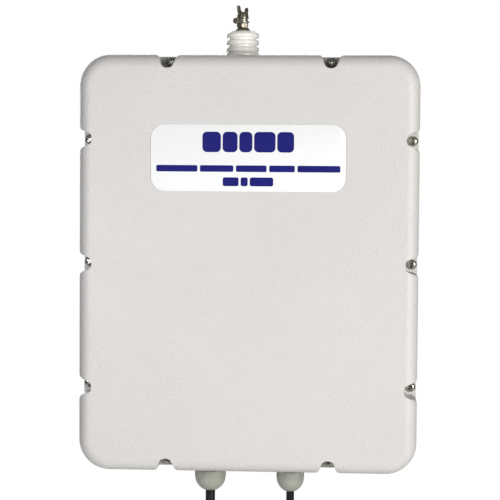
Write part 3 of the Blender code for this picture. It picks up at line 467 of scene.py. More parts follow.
def pocket_half(steps=9):
    """(sideways, inwards) points of a pocket's contour, from beside its mouth to its back."""
    mouth = POCKET_RADIUS + POCKET_FLARE
    slope = POCKET_THROAT / POCKET_FLARE
    points = [(mouth + t, -slope * t) for t in (3.6, 2.4, 1.4, 0.8, 0.3)]
    points += [(mouth - POCKET_FLARE * i / 4, POCKET_THROAT * i / 4) for i in range(4)]
    points += [(POCKET_RADIUS, POCKET_THROAT),
               (POCKET_RADIUS, 0.5 * (POCKET_THROAT + SCREW_INSET))]
    for i in range(steps + 1):
        angle = pi / 2 * i / steps
        points.append((POCKET_RADIUS * cos(angle),
                       SCREW_INSET + POCKET_RADIUS * sin(angle)))
    return points


def case_columns(with_pockets):
    """Columns round the case: base point, inward direction, side direction, pocket place.

    The pocket place is (offset from the pocket's middle, inward depth, shift that spaces
    the columns evenly), or None.
    """
    half = pocket_half()
    contour = [(-s, n) for s, n in half] + [(s, n) for s, n in half[-2::-1]]
    columns = []
    for outward in (Vector((1, 0)), Vector((0, 1)), Vector((-1, 0)), Vector((0, -1))):
        along = Vector((-outward.y, outward.x))
        distance, reach, places = ((HALF_X, HALF_Z, SIDE_SCREWS) if outward.x
                                   else (HALF_Z, HALF_X, END_SCREWS))
        run = reach - CORNER_RADIUS
        columns.append((outward * distance - along * run, -outward, along, None))
        for middle in places if with_pockets else ():
            for k, (s, n) in enumerate(contour):
                even = contour[-1][0] * (2 * k / (len(contour) - 1) - 1)
                columns.append((outward * distance + along * (middle + s), -outward, along,
                                (s, n, even - s)))
        centre = outward * (distance - CORNER_RADIUS) + along * run
        for i in range(CORNER_STEPS):
            angle = pi / 2 * i / CORNER_STEPS
            direction = outward * cos(angle) + along * sin(angle)
            columns.append((centre + CORNER_RADIUS * direction, -direction, along, None))
    return columns


def case_section(columns, depth, inset, rim=0, grow=0, shift=0):
    """Ring at a depth; rim is the width of the eased pocket edge, 0 where no pocket cuts.

    grow makes the pocket's outline larger, as on the inside of its wall, and shift moves it
    outwards.
    """
    ring = []
    for base, inward, along, place in columns:
        reach, aside = inset, 0
        if place:
            spread = 1
            if rim:
                aside = place[0] * grow / POCKET_RADIUS
                spread = min(1, max(0, (inset - place[1] - grow) / rim))
                reach = max(inset, smooth_max(inset, place[1] + grow, rim) - shift)
            aside += place[2] * spread
        point = base + inward * reach + along * aside
        ring.append((point.x, -depth, point.y))
    return ring


def roll_levels(depth, radius, steps, outer=0):
    """(depth, inset) pairs of a quarter-round edge, from the wall to the face."""
    return [(depth - radius * (1 - sin(a)), outer + radius * (1 - cos(a)))
            for a in (pi / 2 * i / steps for i in range(steps + 1))]


def fill_with_holes(bm, outer, loops):
    """Flat face between an outer ring of vertices and rings of vertices inside it."""
    edges = [bm.edges.get(pair) or bm.edges.new(pair) for ring in [outer] + loops
             for pair in zip(ring, ring[1:] + ring[:1])]
    bmesh.ops.triangle_fill(bm, edges=edges, use_beauty=True)


def sink(bm, ring, back):
    """Wall and floor of a recess that goes back, or forwards if negative, from a ring."""
    lower = [bm.verts.new(vert.co + Vector((0, back, 0))) for vert in ring]
    bridge(bm, ring, lower)
    bm.faces.new(lower)


def build_cover():
    """Cover shell: rolled front edge, ten eased screw pockets, label recess, inner flange."""
    columns = case_columns(True)
    inner_front = CASE_DEPTH - COVER_WALL
    inner_roll = roll_levels(inner_front, FRONT_ROLL - COVER_WALL, 6, COVER_WALL)
    rows = [case_section(columns, inner_front, 16)]
    rows += [case_section(columns, *level, RIM_WIDTH, POCKET_WALL)
             for level in inner_roll[::-1] + [(LEDGE + 1, COVER_WALL)]]
    rows += [case_section(columns, *level) for level in (
        (LEDGE, FLANGE_WIDTH - 0.3), (LEDGE - 0.3, FLANGE_WIDTH),
        (FLANGE_FRONT + 0.3, FLANGE_WIDTH), (FLANGE_FRONT, FLANGE_WIDTH - 0.3),
        (FLANGE_FRONT, 0.5), (FLANGE_FRONT + 0.2, 0.2), (FLANGE_FRONT + 0.6, 0),
        (LEDGE - 0.1, 0))]
    rows += [case_section(columns, LEDGE + lift, 0, RIM_WIDTH, shift=shift)
             for lift, shift in ((0, 0.6), (0.2, 0.15), (0.6, 0))]
    rows += [case_section(columns, *level, RIM_WIDTH) for level in (
        [(46, 0), (52, 0)] + roll_levels(CASE_DEPTH, FRONT_ROLL, 16)
        + [(CASE_DEPTH, inset) for inset in (9.7, 10.4, 11.2, 12.5)])]
    bm = bmesh.new()
    grid = add_rows(bm, rows, end=False)
    ring = flat_ring(bm, box_outline(LABEL_HALF_X + GAP, LABEL_HALF_Z + GAP, LABEL_RADIUS + GAP,
                                     12), CASE_DEPTH, 0, LABEL_Z)
    fill_with_holes(bm, grid[-1], [ring])
    sink(bm, ring, LABEL_SINK)
    finish_mesh("cover_shell", bm, "case_plastic", "front_cover", body="cover")


def build_base():
    """Rear shell: rolled back edge, gasket groove, inner flange, pillars and mounting bores."""
    columns = case_columns(False)
    groove_in, groove_out, groove_floor = 9, 12, PARTING - 2
    levels = [(0, 6)]
    levels += [(BACK_ROLL - depth, inset)
               for depth, inset in reversed(roll_levels(BACK_ROLL, BACK_ROLL, 8))]
    levels += [(PARTING - 0.6, 0), (PARTING - 0.2, 0.2), (PARTING, 0.5),
               (PARTING, groove_in), (groove_floor, groove_in), (groove_floor, groove_out),
               (PARTING, groove_out), (PARTING, FLANGE_WIDTH - 0.3),
               (PARTING - 0.3, FLANGE_WIDTH), (PARTING - 4, FLANGE_WIDTH),
               (PARTING - 4, WALL), (6, WALL), (4.3, WALL + 0.7), (WALL, 6)]
    bm = bmesh.new()
    grid = add_rows(bm, [case_section(columns, *level) for level in levels], start=False)
    holes = [flat_ring(bm, circle(2.6), 0, x, z) for x, z in MOUNTS]
    fill_with_holes(bm, grid[0], holes)
    for ring in holes:
        sink(bm, ring, -9)
    for x, z in MOUNTS:
        add_turned(bm, [(0, 3), (7.8, 3, 0.4), (7, 11.5, 0.6), (0, 11.5)], 32, at_front(x, 0, z))
    for x, z in PILLARS:
        place = at_front(x, 0, z)
        add_turned(bm, [(0, 3), (4.4, 3), (4, 12, 0.3), (0, 12)], 28, place)
        for quarter in range(4):
            fin = place @ spun(pi * (0.25 + 0.5 * quarter))
            add_box(bm, (6, 1.2, 6), (4, 0, 6.2), 0.2, fin)
    finish_mesh("base_shell", bm, "case_plastic", "rear_base")
    for number, (x, z) in enumerate(MOUNTS, 1):
        turned(f"fixing_insert_{number}", band(2, 2.5, 0.3, 8.5, 0.2, 0.2), "brass",
               matrix=at_front(x, 0, z), segments=32,
               shape=lambda a, r, h: r - (0.12 * cos(34 * a) if r > 2.29 else 0))


def build_gasket():
    """Soft gasket with a rounded crown in the base's groove."""
    columns = case_columns(False)
    bm = bmesh.new()
    add_rows(bm, [case_section(columns, PARTING - down, inset) for down, inset in (
        (1.7, 9.5), (1.7, 11.5), (0.6, 11.68), (0.2, 11.3), (0, 10.5), (0.2, 9.7),
        (0.6, 9.32))], closed=True)
    finish_mesh("gasket_ring", bm, "gasket", "cover_gasket")


def build_label():
    """Plate with a rounded rim, and plain printed bars in place of any wording."""
    bm = bmesh.new()
    add_slab(bm, box_outline(LABEL_HALF_X, LABEL_HALF_Z, LABEL_RADIUS, 12),
             CASE_DEPTH - 0.3, LABEL_FACE, 0.16, at_front(0, 0, LABEL_Z))
    finish_mesh("label_plate", bm, "label", "front_label", body="cover")
    bm = bmesh.new()
    printed = at_front(0, LABEL_FACE - 0.03, LABEL_Z)
    for height, tall, widths, space in (
            (11.2, 14.3, (13, 10.5, 9.2, 15, 11.8), 1.2),
            (-7.4, 4.6, (29, 23.5, 21.5, 18, 30), 1.8),
            (-16.6, 6.2, (11.2, 5, 16.5), 1.4)):
        x = -0.5 * (sum(widths) + space * (len(widths) - 1))
        for width in widths:
            outline = box_outline(width / 2, tall / 2, 0.22 * tall)
            add_slab(bm, outline, 0, 0.08, 0.02, printed @ moved(x + width / 2, height, 0))
            x += width + space
    finish_mesh("label_print", bm, "ink", body="cover")


# --- Fasteners ---

def merged(first, second, operation):
    """Exact Boolean of two bmeshes as a new bmesh."""
    pair = []
    for bm in (first, second):
        bmesh.ops.recalc_face_normals(bm, faces=bm.faces)
        pair.append(add_object("operand", bare_mesh(bm, "operand")))
    modifier = pair[0].modifiers.new("cut", "BOOLEAN")
    modifier.operation = operation
    modifier.solver = "EXACT"
    modifier.object = pair[1]
    bpy.context.view_layer.update()
    graph = bpy.context.evaluated_depsgraph_get()
    result = bmesh.new()
    result.from_mesh(pair[0].evaluated_get(graph).to_mesh())
    for piece in pair:
        mesh = piece.data
        bpy.data.objects.remove(piece)
        bpy.data.meshes.remove(mesh)
    return result


def pan_screw(radius, pitch, length, head_radius, head_height):
    """Pan-head screw with a tapered cross recess and a cut thread; Z points out of the head."""
    bm = bmesh.new()
    add_turned(bm, [(0, -0.6 * radius), (0.9 * radius, -0.6 * radius), (0.9 * radius, 0),
                    (head_radius, 0, 0.1 * head_height),
                    (0.97 * head_radius, 0.55 * head_height, 0.5 * head_height),
                    (0.62 * head_radius, 0.96 * head_height, 0.8 * head_height),
                    (0, head_height)], 40, steps=5)
    cross = bmesh.new()
    reach, slot = 0.6 * head_radius, 0.17 * head_radius
    rows = []
    for height, share in ((0.06, 0.3), (0.5, 0.72), (1.4, 1.15)):
        row = []
        half = slot * (0.6 + 0.4 * share)
        for turn in range(4):
            spin = Matrix.Rotation(pi / 2 * turn, 2)
            for corner in ((reach * share, -half), (reach * share, half), (half, half)):
                row.append((*(spin @ Vector(corner)), height * head_height))
        rows.append(row)
    add_rows(cross, rows)
    bm = merged(bm, cross, "DIFFERENCE")
    add_thread(bm, radius, pitch, -length, -0.4 * radius, 20, 5)
    return bm


def add_screws(screw, name, replaced, places, depth, turn, body="case"):
    """Copies of a screw, each turned about its axis so that no two crosses look alike."""
    shared = mesh_from(screw, "screw")
    for number, (x, z) in enumerate(places, 1):
        mesh = shared.copy()
        mesh.transform(spun(turn * number * number))
        place_piece(name.format(number), mesh, "steel", replaced.format(number), body=body,
                    matrix=at_front(x, depth, z))


def build_screws():
    places = [(side * (HALF_X - SCREW_INSET), z) for side in (1, -1) for z in SIDE_SCREWS]
    places += [(x, side * (HALF_Z - SCREW_INSET)) for side in (1, -1) for x in END_SCREWS]
    add_screws(pan_screw(2, 0.7, 16, 3.6, 2.6), "case_screw_{:02d}", "cover_screw_{:02d}",
               places, LEDGE + GAP, 0.7, "cover")
    add_screws(pan_screw(1.5, 0.5, 7.5, 2.8, 1.8), "board_fixing_{}", "board_screw_{}", PILLARS,
               BOARD_FACE, 0.9)


def faceted(count, corner):
    """Radius limit of a prism with count flats."""
    flat = corner * cos(pi / count)

    def shape(angle, radius, height):
        part = (angle + pi / count) % (tau / count) - pi / count
        return min(radius, flat / cos(part))
    return shape


def polygon_nut(name, count, corner, bore, height, look, replaced, matrix):
    chamfer = 0.12 * corner
    turned(name, [(bore, 0, 0.3), (0.93 * corner, 0, 0.3), (1.01 * corner, chamfer),
                  (1.01 * corner, height - chamfer), (0.93 * corner, height, 0.3),
                  (bore, height, 0.3)], look, replaced, matrix=matrix, segments=72,
           shape=faceted(count, corner), sharp=24)


def build_wing_nut(name, height, replaced, body, place):
    """Forged wing nut with a domed boss and two eased wings."""
    boss, tall, span, thickness = 4.6, 5, 10.8, 1.7
    bm = bmesh.new()
    add_turned(bm, [(0, 0), (boss, 0, 0.4), (0.84 * boss, tall, 0.7), (0, tall)], 40)
    outline = rounded([(0.5 * boss, 1.2), (0.5 * span, 0.38 * tall, 1.6),
                       (0.84 * span, 0.42 * height, 2), (0.99 * span, 0.8 * height, 1.8),
                       (0.92 * span, height, 1.4), (0.66 * span, 0.93 * height, 1.4),
                       (0.52 * span, 0.62 * height, 2), (0.5 * boss, 0.92 * tall)], steps=5)
    middle = Vector((sum(x for x, _ in outline), sum(y for _, y in outline))) / len(outline)
    centred = [(x - middle.x, y - middle.y) for x, y in outline]
    for turn in (0, pi):
        wing = bmesh.new()
        add_slab(wing, centred, -thickness / 2, thickness / 2, 0.45 * thickness,
                 spun(turn) @ FORWARD @ moved(middle.x, middle.y, 0))
        bm = merged(bm, wing, "UNION")
    bore = bmesh.new()
    add_turned(bore, band(0, 2.7, -1, 7, 0, 0), 32)
    finish_mesh(name, merged(bm, bore, "DIFFERENCE"), "brass", replaced, body=body, sharp=30,
                matrix=place)


def build_stud(name, replaced, start, end, matrix, head=None):
    """Threaded stud, with an optional plain six-sided head as (radius, low, high)."""
    bm = bmesh.new()
    add_thread(bm, STUD_RADIUS, THREAD_PITCH, start, end, 24, 6, matrix)
    if head:
        add_turned(bm, band(0, *head, 0, 0.4), 48, matrix, shape=faceted(6, head[0]))
    finish_mesh(name, bm, "brass", replaced, sharp=30)


# --- Terminals ---

def build_insulator(axis):
    """Glazed insulator with three rounded ribs, and the seal under it."""
    groove, rib = 10, 12.15
    corners = [(STUD_BORE, -WALL, 0.3), (6.7, -WALL, 0.4), (6.7, 1.8, 0.3), (rib, 1.8, 0.5),
               (rib, 4.2, 0.7)]
    for middle in (6.74, 11.84, 16.94):
        for i in range(13):
            angle = pi * i / 12
            corners.append((groove + (rib - groove) * sin(angle) ** 0.75,
                            middle - 2.14 * cos(angle)))
    corners += [(9.7, 19.6), (8.9, INSULATOR_HEIGHT, 0.4), (STUD_BORE, INSULATOR_HEIGHT, 0.3)]
    turned("ribbed_insulator", corners, "ceramic", "antenna_insulator", matrix=axis, segments=96)
    turned("insulator_seal", band(7, 12.75, 0.3, 1.5, 0.3, 0.4), "rubber", "insulator_gasket",
           matrix=axis, segments=72)


def build_ring_lug(axis):
    """Stamped ring with a neck and an open crimp barrel towards the front."""
    thick = 1
    place = axis @ moved(0, 0, 26.3) @ spun(LUG_TURN)
    bm = bmesh.new()
    add_turned(bm, band(STUD_BORE, 5, 0, thick), 48, place)
    rows = []
    for share in (0, 0.35, 0.7, 1):
        half = 2.8 - 0.8 * sin(pi * share)
        y = -3.6 - 3.4 * share
        rows.append([(-half, y, 0), (half, y, 0), (half, y, thick), (-half, y, thick)])
    add_rows(bm, rows, place)
    rows = []
    for height, flare in ((0, 0), (0.6, 0.1), (3, 0), (3.8, -0.25), (5.2, -0.25), (6, 0),
                          (7.8, 0), (8, -0.1)):
        row = []
        for radius, order in ((2.3 + flare, 1), (1.6, -1)):
            angles = [radians(100 + 340 * k / 30) for k in range(31)][::order]
            row += [polar(radius, angle, height) for angle in angles]
        rows.append(row)
    add_rows(bm, rows, place @ moved(0, -5.5, thick / 2) @ FORWARD)
    finish_mesh("crimp_ring_lug", bm, "tinned_copper", "antenna_ring_lug", sharp=34)


def build_split_washer(place):
    """Spring washer: a flat bar bent to a ring, its ends cut and slightly apart."""
    section = rounded(band(STUD_BORE, 4, 0, 0.9, 0.1, 0.1), steps=1)
    rows = []
    for i in range(61):
        angle = radians(8 + 346 * i / 60)
        rows.append([polar(r, angle, h + 0.2 * i / 60) for r, h in section])
    bm = bmesh.new()
    add_rows(bm, rows)
    finish_mesh("split_spring_washer", bm, "steel", "antenna_lock_washer", body="antenna_washer",
                sharp=30, matrix=place)


def build_antenna_terminal():
    """Stud with everything stacked on it above and below the insulator."""
    axis = moved(INSULATOR_X, ENTRY_Y, HALF_Z)
    build_insulator(axis)
    build_stud("threaded_stud", "antenna_stud", -16, 34, axis)
    facets = faceted(6, 5.2)
    turned("flanged_inner_nut",
           [(STUD_BORE, -3.8, 0.2), (9, -3.8, 0.3), (9, -4.7, 0.3), (5.5, -5.2, 0.4),
            (5.5, -8.4), (4.8, -8.8, 0.3), (STUD_BORE, -8.8, 0.2)], "brass", "stud_flange_nut",
           matrix=axis, segments=72, sharp=24,
           shape=lambda a, r, h: facets(a, r, h) if h < -5.3 else r)
    turned("cup_washer", [(STUD_BORE, 20.3, 0.2), (5.6, 20.3, 0.3), (5.4, 21.2, 0.5),
                          (4.3, 22.5, 0.4), (3.4, 22.5, 0.2), (3.3, 21.9, 0.1),
                          (STUD_BORE, 21.9, 0.1)], "brass", "stud_cup_washer", matrix=axis)
    polygon_nut("jam_nut", 6, 4.6, STUD_BORE, 3.2, "brass", "stud_hex_nut",
                axis @ moved(0, 0, 22.8))
    build_ring_lug(axis)
    build_split_washer(axis @ moved(0, 0, 27.6))
    build_wing_nut("antenna_butterfly_nut", 9.4, "antenna_wing_nut", "antenna_nut",
                   axis @ moved(0, 0, 29) @ spun(WING_TURN))


def build_earth_terminal():
    axis = moved(0, EARTH_Y, -HALF_Z) @ UPSIDE_DOWN
    build_stud("earth_threaded_bolt", "earth_bolt", -4.5, 8.8, axis, (4.4, -7, -3.8))
    turned("earth_flat_washer", band(STUD_BORE, 5.5, 0.3, 1.3), "steel", "earth_washer",
           body="earth_washer", matrix=axis)
    build_wing_nut("earth_butterfly_nut", 6.8, "earth_wing_nut", "earth_nut",
                   axis @ moved(0, 0, 1.6) @ spun(EARTH_TURN))


# --- Cable glands ---

def thread_cut(angle, height):
    """How far a gland's thread is cut below its crest at an angle and height."""
    return 0.6 * abs(2 * ((height / GLAND_PITCH - angle / tau) % 1) - 1)


def build_gland(prefix, x, thread, corner, cable, end):
    """Body, sealing washer, lock nut, cable seal and dome nut of one cable gland."""
    axis = moved(x, ENTRY_Y, -HALF_Z) @ UPSIDE_DOWN
    outer, bore, rim = corner - 2.2, cable + 1, corner + 0.4
    flange, top, tip = 2, 6.2, 13
    facets = faceted(12, rim)
    corners = [(bore, -tip, 0.3)] + [(thread, -12.9 + 0.25 * i) for i in range(60)]
    corners += [(rim - 0.6, flange), (rim + 0.2, flange + 0.6), (rim + 0.2, top - 0.6),
                (rim - 0.6, top)]
    corners += [(outer, top + 0.25 * i) for i in range(1, 28)] + [(bore, tip, 0.3)]

    def body_shape(angle, radius, height):
        if radius > outer + 0.1 and height >= flange:
            return facets(angle, radius, height)
        if radius > bore + 0.5 and (height < flange or height > top):
            ease = min(1, max(0, (12.9 - abs(height)) / 0.6))
            return radius - 0.3 * (1 - ease) - thread_cut(angle, height)
        return radius
    turned(f"{prefix}_entry_body", corners, "gland_plastic", f"{prefix}_gland_body", matrix=axis,
           segments=96, shape=body_shape, sharp=28)
    turned(f"{prefix}_entry_washer", band(thread + GAP, corner, 0.3, 1.7, 0.2, 0.4), "rubber",
           f"{prefix}_gland_washer", matrix=axis)
    lock_bore = (thread + GAP) / cos(pi / 12)
    polygon_nut(f"{prefix}_inner_lock_nut", 12, lock_bore + 3, lock_bore, 4.5, "gland_plastic",
                f"{prefix}_gland_lock_nut", axis @ moved(0, 0, -8.3))
    seal = outer - 1.2
    turned(f"{prefix}_rubber_seal",
           [(cable + GAP, 13.3, 0.3), (seal, 13.3, 0.4), (seal, 16.3, 0.6), (end - 0.2, 19.3, 0.6),
            (cable + GAP, 19.3, 0.3)],
           "rubber", f"{prefix}_gland_seal", body=f"{prefix}_seal", matrix=axis)
    build_dome_nut(prefix, axis, corner, outer, seal, cable, end)


def build_dome_nut(prefix, axis, corner, outer, seal, cable, end):
    """Twelve-sided grip that runs into a round dome with a lipped cable mouth."""
    start, grip, dome_start, finish = 6.5, 11.7, 12.2, 21.4
    facets = faceted(12, corner)
    shoulder = corner * cos(pi / 12) - 0.1
    corners = [(outer + GAP, start, 0.2), (corner - 0.6, start, 0.3), (corner + 0.1, start + 0.8),
               (corner + 0.1, grip - 0.4), (corner - 0.4, grip), (shoulder, dome_start)]
    for i in range(1, 13):
        angle = DOME_SWEEP * i / 12
        inwards = (1 - cos(angle)) / (1 - cos(DOME_SWEEP))
        downwards = sin(angle) / sin(DOME_SWEEP)
        corners.append((shoulder - (shoulder - end) * inwards,
                        dome_start + (finish - dome_start) * downwards))
    corners += [(cable + 0.4, finish, 0.3), (cable + 0.4, 20.2, 0.2), (end, 19.9),
                (seal + GAP, 16.5), (seal + GAP, 13.3), (outer + GAP, 12.8)]
    turned(f"{prefix}_dome_nut", corners, "gland_plastic", f"{prefix}_gland_nut",
           body=f"{prefix}_nut", matrix=axis, segments=144, sharp=24,
           shape=lambda a, r, h: facets(a, r, h) if h < dome_start and r > outer + 0.4 else r)


# --- Ties and plugs ---

def build_tie(prefix, centre_x, diameter, angle):
    """Band round the coil's bundle, with its ratchet head and cut-off end in front."""
    inner = 2.5 * diameter + 0.6
    place = (moved(centre_x, COIL_Y, COIL_Z) @ FORWARD @ spun(angle) @ moved(COIL_RADIUS, 0, 0)
             @ FORWARD)
    bm = bmesh.new()
    add_turned(bm, band(inner, inner + 1.3, -2.4, 2.4, 0.2, 0.4), 120, place,
               shape=lambda a, r, h: r - (0.18 * (cos(60 * a) > 0)
                                          if r > inner + 1 and abs(h) < 1.7 else 0))
    head = place @ spun(pi / 2)
    add_box(bm, (4, 7.8, 7.2), (inner + 2.6, 0, 0), 0.6, head)
    add_box(bm, (1, 5.2, 4.6), (inner + 2.6, 5.8, 0), 0.3, head)
    finish_mesh(f"{prefix}_coil_tie", bm, "tie_nylon", f"{prefix}_cable_tie")


def plug_place(centre_x, side, diameter):
    x = centre_x + side * (COIL_RADIUS + sqrt(3) * diameter)
    return moved(x, COIL_Y, COIL_Z - TAIL_LENGTH - GAP) @ UPSIDE_DOWN


def build_control_plug():
    """Four-way plug: ribbed boot, shell with grip ribs and a skirt round four pins."""
    place = plug_place(CONTROL_COIL_X, -1, CONTROL_CABLE)
    levels = [(0, 4.2, 4.2, 4.1), (0.4, 4.8, 4.7, 4.4)]
    for i in range(5):
        height = 1.4 + 1.6 * i
        levels += [(height, 4.9, 4.8, 4.4), (height + 0.3, 4.4, 4.4, 4.2),
                   (height + 0.9, 4.4, 4.4, 4.2), (height + 1.2, 5, 4.8, 4.4)]
    levels += [(10, 5.6, 5, 4), (11.8, 8.1, 6.2, 2.4), (12.2, 8.5, 6.5, 2), (25.6, 8.5, 6.5, 2),
               (26, 8.2, 6.2, 1.8), (26.3, 7.6, 5.6, 1.4), (33.6, 7.6, 5.6, 1.4),
               (34, 7.3, 5.3, 1.2), (34, 6.6, 4.6, 1), (28.5, 6.5, 4.5, 1)]
    bm = bmesh.new()
    add_rows(bm, [[(x, y, height) for x, y in box_outline(*outline, 6)]
                  for height, *outline in levels], place)
    for side in (-8.3, 8.3):
        for k in range(5):
            add_box(bm, (0.6, 8, 1.1), (side, 0, 15 + 2.2 * k), 0.2, place)
    plug = finish_mesh("control_plug_shell", bm, "plug_nylon", "control_plug", sharp=30)
    bm = bmesh.new()
    for x in (-3.3, 3.3):
        for y in (-2, 2):
            add_turned(bm, [(0, 28), (0.9, 28), (0.9, 32.2), (0.4, 33.2), (0, 33.3)], 16,
                       place @ moved(x, y, 0))
    return [plug, finish_mesh("control_plug_pins", bm, "nickel")]


def build_coax_plug():
    """Screw-on plug: body with a centre pin and the knurled coupling ring round it."""
    place = plug_place(COAX_COIL_X, 1, COAX_CABLE)
    body = turned("coax_plug_shell", [
        (0, 0.2), (4.5, 0, 0.3), (5.2, 0.6, 0.4), (5.2, 3, 0.2), (5.8, 3.5, 0.2),
        (5.8, 16.3, 0.2), (7.3, 16.3, 0.2), (7.3, 18.3, 0.2), (5.9, 18.6, 0.2), (5.9, 27, 0.3),
        (4.9, 27, 0.2), (4.8, 24, 0.2), (2, 24, 0.1), (2, 36.2, 0.4), (1, 37.8, 0.4),
        (0, 37.8)], "nickel", "coax_plug_body", matrix=place)
    insert = turned("coax_plug_insulator", [(2.1, 23.9, 0.1), (4.7, 23.9, 0.1), (4.7, 26.2, 0.2),
                                            (2.1, 26.2, 0.2)], "ceramic", matrix=place,
                    segments=48)
    ring = [(6.2, 10, 0.2), (8.4, 10, 0.3), (9.2, 10.8, 0.2)]
    ring += [(9.2, 11.2 + 0.3 * i) for i in range(30)]
    ring += [(9.2, 20.5), (8.7, 20.9, 0.2), (8.7, 30, 0.2), (9.2, 30.4, 0.2), (9.2, 31.4, 0.2),
             (8.8, 32, 0.3), (8, 32, 0.2), (8, 16, 0.2), (6.2, 16, 0.2)]

    def knurled(angle, radius, height):
        if radius < 9.1 or not 11.1 < height < 20.3:
            return radius
        left = sin(48 * angle + 2.6 * height)
        right = sin(48 * angle - 2.6 * height)
        return radius - 0.22 * (1 - max(left, 0) * max(right, 0))
    coupling = turned("coax_coupling_ring", ring, "nickel", "coax_plug_ring", body="plug_ring",
                      matrix=place, segments=288, shape=knurled, sharp=50)
    return [body, insert, coupling]


# --- Electronics ---

def on_board(x, z, lift=0):
    """Local Z out of the board's front, local X to the right and local Y upwards."""
    return at_front(x, BOARD_FACE + lift, z)


def build_board():
    """Board with eased corners and four holes."""
    bm = bmesh.new()
    front = BOARD_FACE - GAP
    outline = box_outline(BOARD_HALF_X, BOARD_HALF_Z, 3, 6)
    sides = []
    for depth in (front - BOARD_THICKNESS, front):
        sides.append([flat_ring(bm, outline, depth, 0, BOARD_Z)]
                     + [flat_ring(bm, circle(1.8), depth, x, z) for x, z in PILLARS])
    for first, second in zip(*sides):
        bridge(bm, first, second)
    for rim, *holes in sides:
        fill_with_holes(bm, rim, holes)
    finish_mesh("printed_board", bm, "circuit_board", "main_board")


def build_tracks():
    """Raised conductor tracks with mitred bends, and solder joints at their ends."""
    random = Random(7)
    tracks, joints = bmesh.new(), bmesh.new()
    for _ in range(70):
        x, z = random.uniform(-80, 80), random.uniform(-108, 106)
        width = random.choice((0.8, 1.2, 2))
        points = [(x, z)]
        heading = random.randrange(8)
        for _ in range(random.randrange(2, 5)):
            reach = random.uniform(6, 24)
            x += reach * cos(heading * pi / 4)
            z += reach * sin(heading * pi / 4)
            points.append((max(-90, min(90, x)), max(-115, min(112, z))))
            heading += random.choice((-1, 1))
        for start, end in zip(points, points[1:]):
            run = Vector(end) - Vector(start)
            if run.length < 1:
                continue
            place = on_board(*(0.5 * (Vector(start) + Vector(end))), 0.02 - GAP)
            add_box(tracks, (run.length + width, width, 0.1), edge=0.03,
                    matrix=place @ spun(atan2(run.y, run.x)), corner=0.45 * width)
        for point in (points[0], points[-1]):
            add_turned(joints, [(0, 0), (1.1, 0), (0.9, 0.3), (0.4, 0.9), (0, 1)], 14,
                       on_board(*point, -GAP))
    finish_mesh("board_tracks", tracks, "board_track")
    finish_mesh("solder_joints", joints, "solder", sharp=60)


def build_chips():
    """Chips with bent legs on the board."""
    chips, legs = bmesh.new(), bmesh.new()
    for x, z, long, wide, pins in ((55, -82, 26, 7.5, 10), (-62, 4, 19, 6.8, 7),
                                   (58, -18, 10, 6.2, 4)):
        place = on_board(x, z)
        add_box(chips, (long, wide, 3), (0, 0, 2.1), 0.3, place)
        add_turned(chips, [(0, 0), (0.8, 0), (0.6, 3.8), (0, 3.8)], 16,
                   place @ moved(-0.42 * long, 0, 0))
        for k in range(pins):
            along = long * ((k + 0.5) / pins - 0.5)
            for side in (-1, 1):
                half = wide / 2
                add_sweep(legs, [(along, side * across, height) for across, height in (
                    (0.9 * half, 2), (half + 0.8, 2), (half + 1.1, 1.4), (half + 1.2, 0.1))],
                    0.26, 6, place)
    finish_mesh("board_chips", chips, "chip_plastic")
    finish_mesh("chip_legs", legs, "solder")


def build_small_parts():
    """Resistors with bent leads, and two kinds of capacitor, on the board."""
    bodies, leads, cans, discs = bmesh.new(), bmesh.new(), bmesh.new(), bmesh.new()
    for x, z, turn in ((0, 10, 0), (0, 16, 0), (0, 22, 0), (-16, 88, 1), (-22, 88, 1),
                       (50, -52, 0), (50, -60, 0), (-70, -75, 1), (-62, -75, 1), (-54, -75, 1)):
        place = on_board(x, z) @ spun(pi / 2 * turn)
        add_turned(bodies, [(0, -3.2), (1.1, -3.2, 0.3), (1.2, -2.1, 0.3), (1, -1.3, 0.3),
                            (1, 1.3, 0.3), (1.2, 2.1, 0.3), (1.1, 3.2, 0.3), (0, 3.2)], 20,
                   place @ moved(0, 0, 1.4) @ Matrix.Rotation(pi / 2, 4, "Y"))
        add_sweep(leads, [(-5.2, 0, 0), (-5.2, 0, 1.1), (-4.9, 0, 1.4), (4.9, 0, 1.4),
                          (5.2, 0, 1.1), (5.2, 0, 0)], 0.28, 6, place)
    for x, z, radius, tall in ((-74, 98, 5, 12), (74, -60, 4, 10), (74, -48, 4, 10),
                               (20, -76, 3, 8)):
        add_turned(cans, [(0, 0.2), (radius, 0.2, 0.4), (radius, 1.2, 0.2),
                          (0.95 * radius, 1.6, 0.2), (radius, 2, 0.2), (radius, tall, 0.5),
                          (0.86 * radius, tall, 0.2), (0.84 * radius, tall - 0.3, 0.1),
                          (0, tall - 0.3)], 36, on_board(x, z))
    for x, z in ((4, -16), (11, -16), (70, 100), (62, 100)):
        add_turned(discs, [(0, -1.1), (3, -1, 0.8), (3, 1, 0.8), (0, 1.1)], 28,
                   on_board(x, z) @ moved(0, 0, 4.4) @ FORWARD)
    finish_mesh("board_resistors", bodies, "resistor")
    finish_mesh("resistor_leads", leads, "solder")
    finish_mesh("board_capacitor_cans", cans, "chip_plastic")
    finish_mesh("board_capacitor_discs", discs, "capacitor")


def build_relays():
    for number, x in enumerate((-56, -18, 20), 1):
        bm = bmesh.new()
        place = on_board(x, -40)
        add_rows(bm, [[(px, py, height) for px, py in box_outline(
            14.5 - inset, 6.5 - inset, max(0.4, 1 - inset / 2), 4)] for height, inset in (
                (0.2, 1), (0.2, 0.3), (0.6, 0), (3, 0), (3.2, 0.4), (3.6, 0.4), (3.8, 0),
                (19.4, 0), (19.8, 0.2), (20, 0.6), (20, 1.6), (19.7, 1.9))], place)
        add_turned(bm, [(0, 19.6), (0.7, 19.6), (0.6, 19.9), (0, 19.9)], 16,
                   place @ moved(-11, 3.5, 0))
        finish_mesh(f"relay_case_{number}", bm, "relay_plastic", f"relay_{number}")


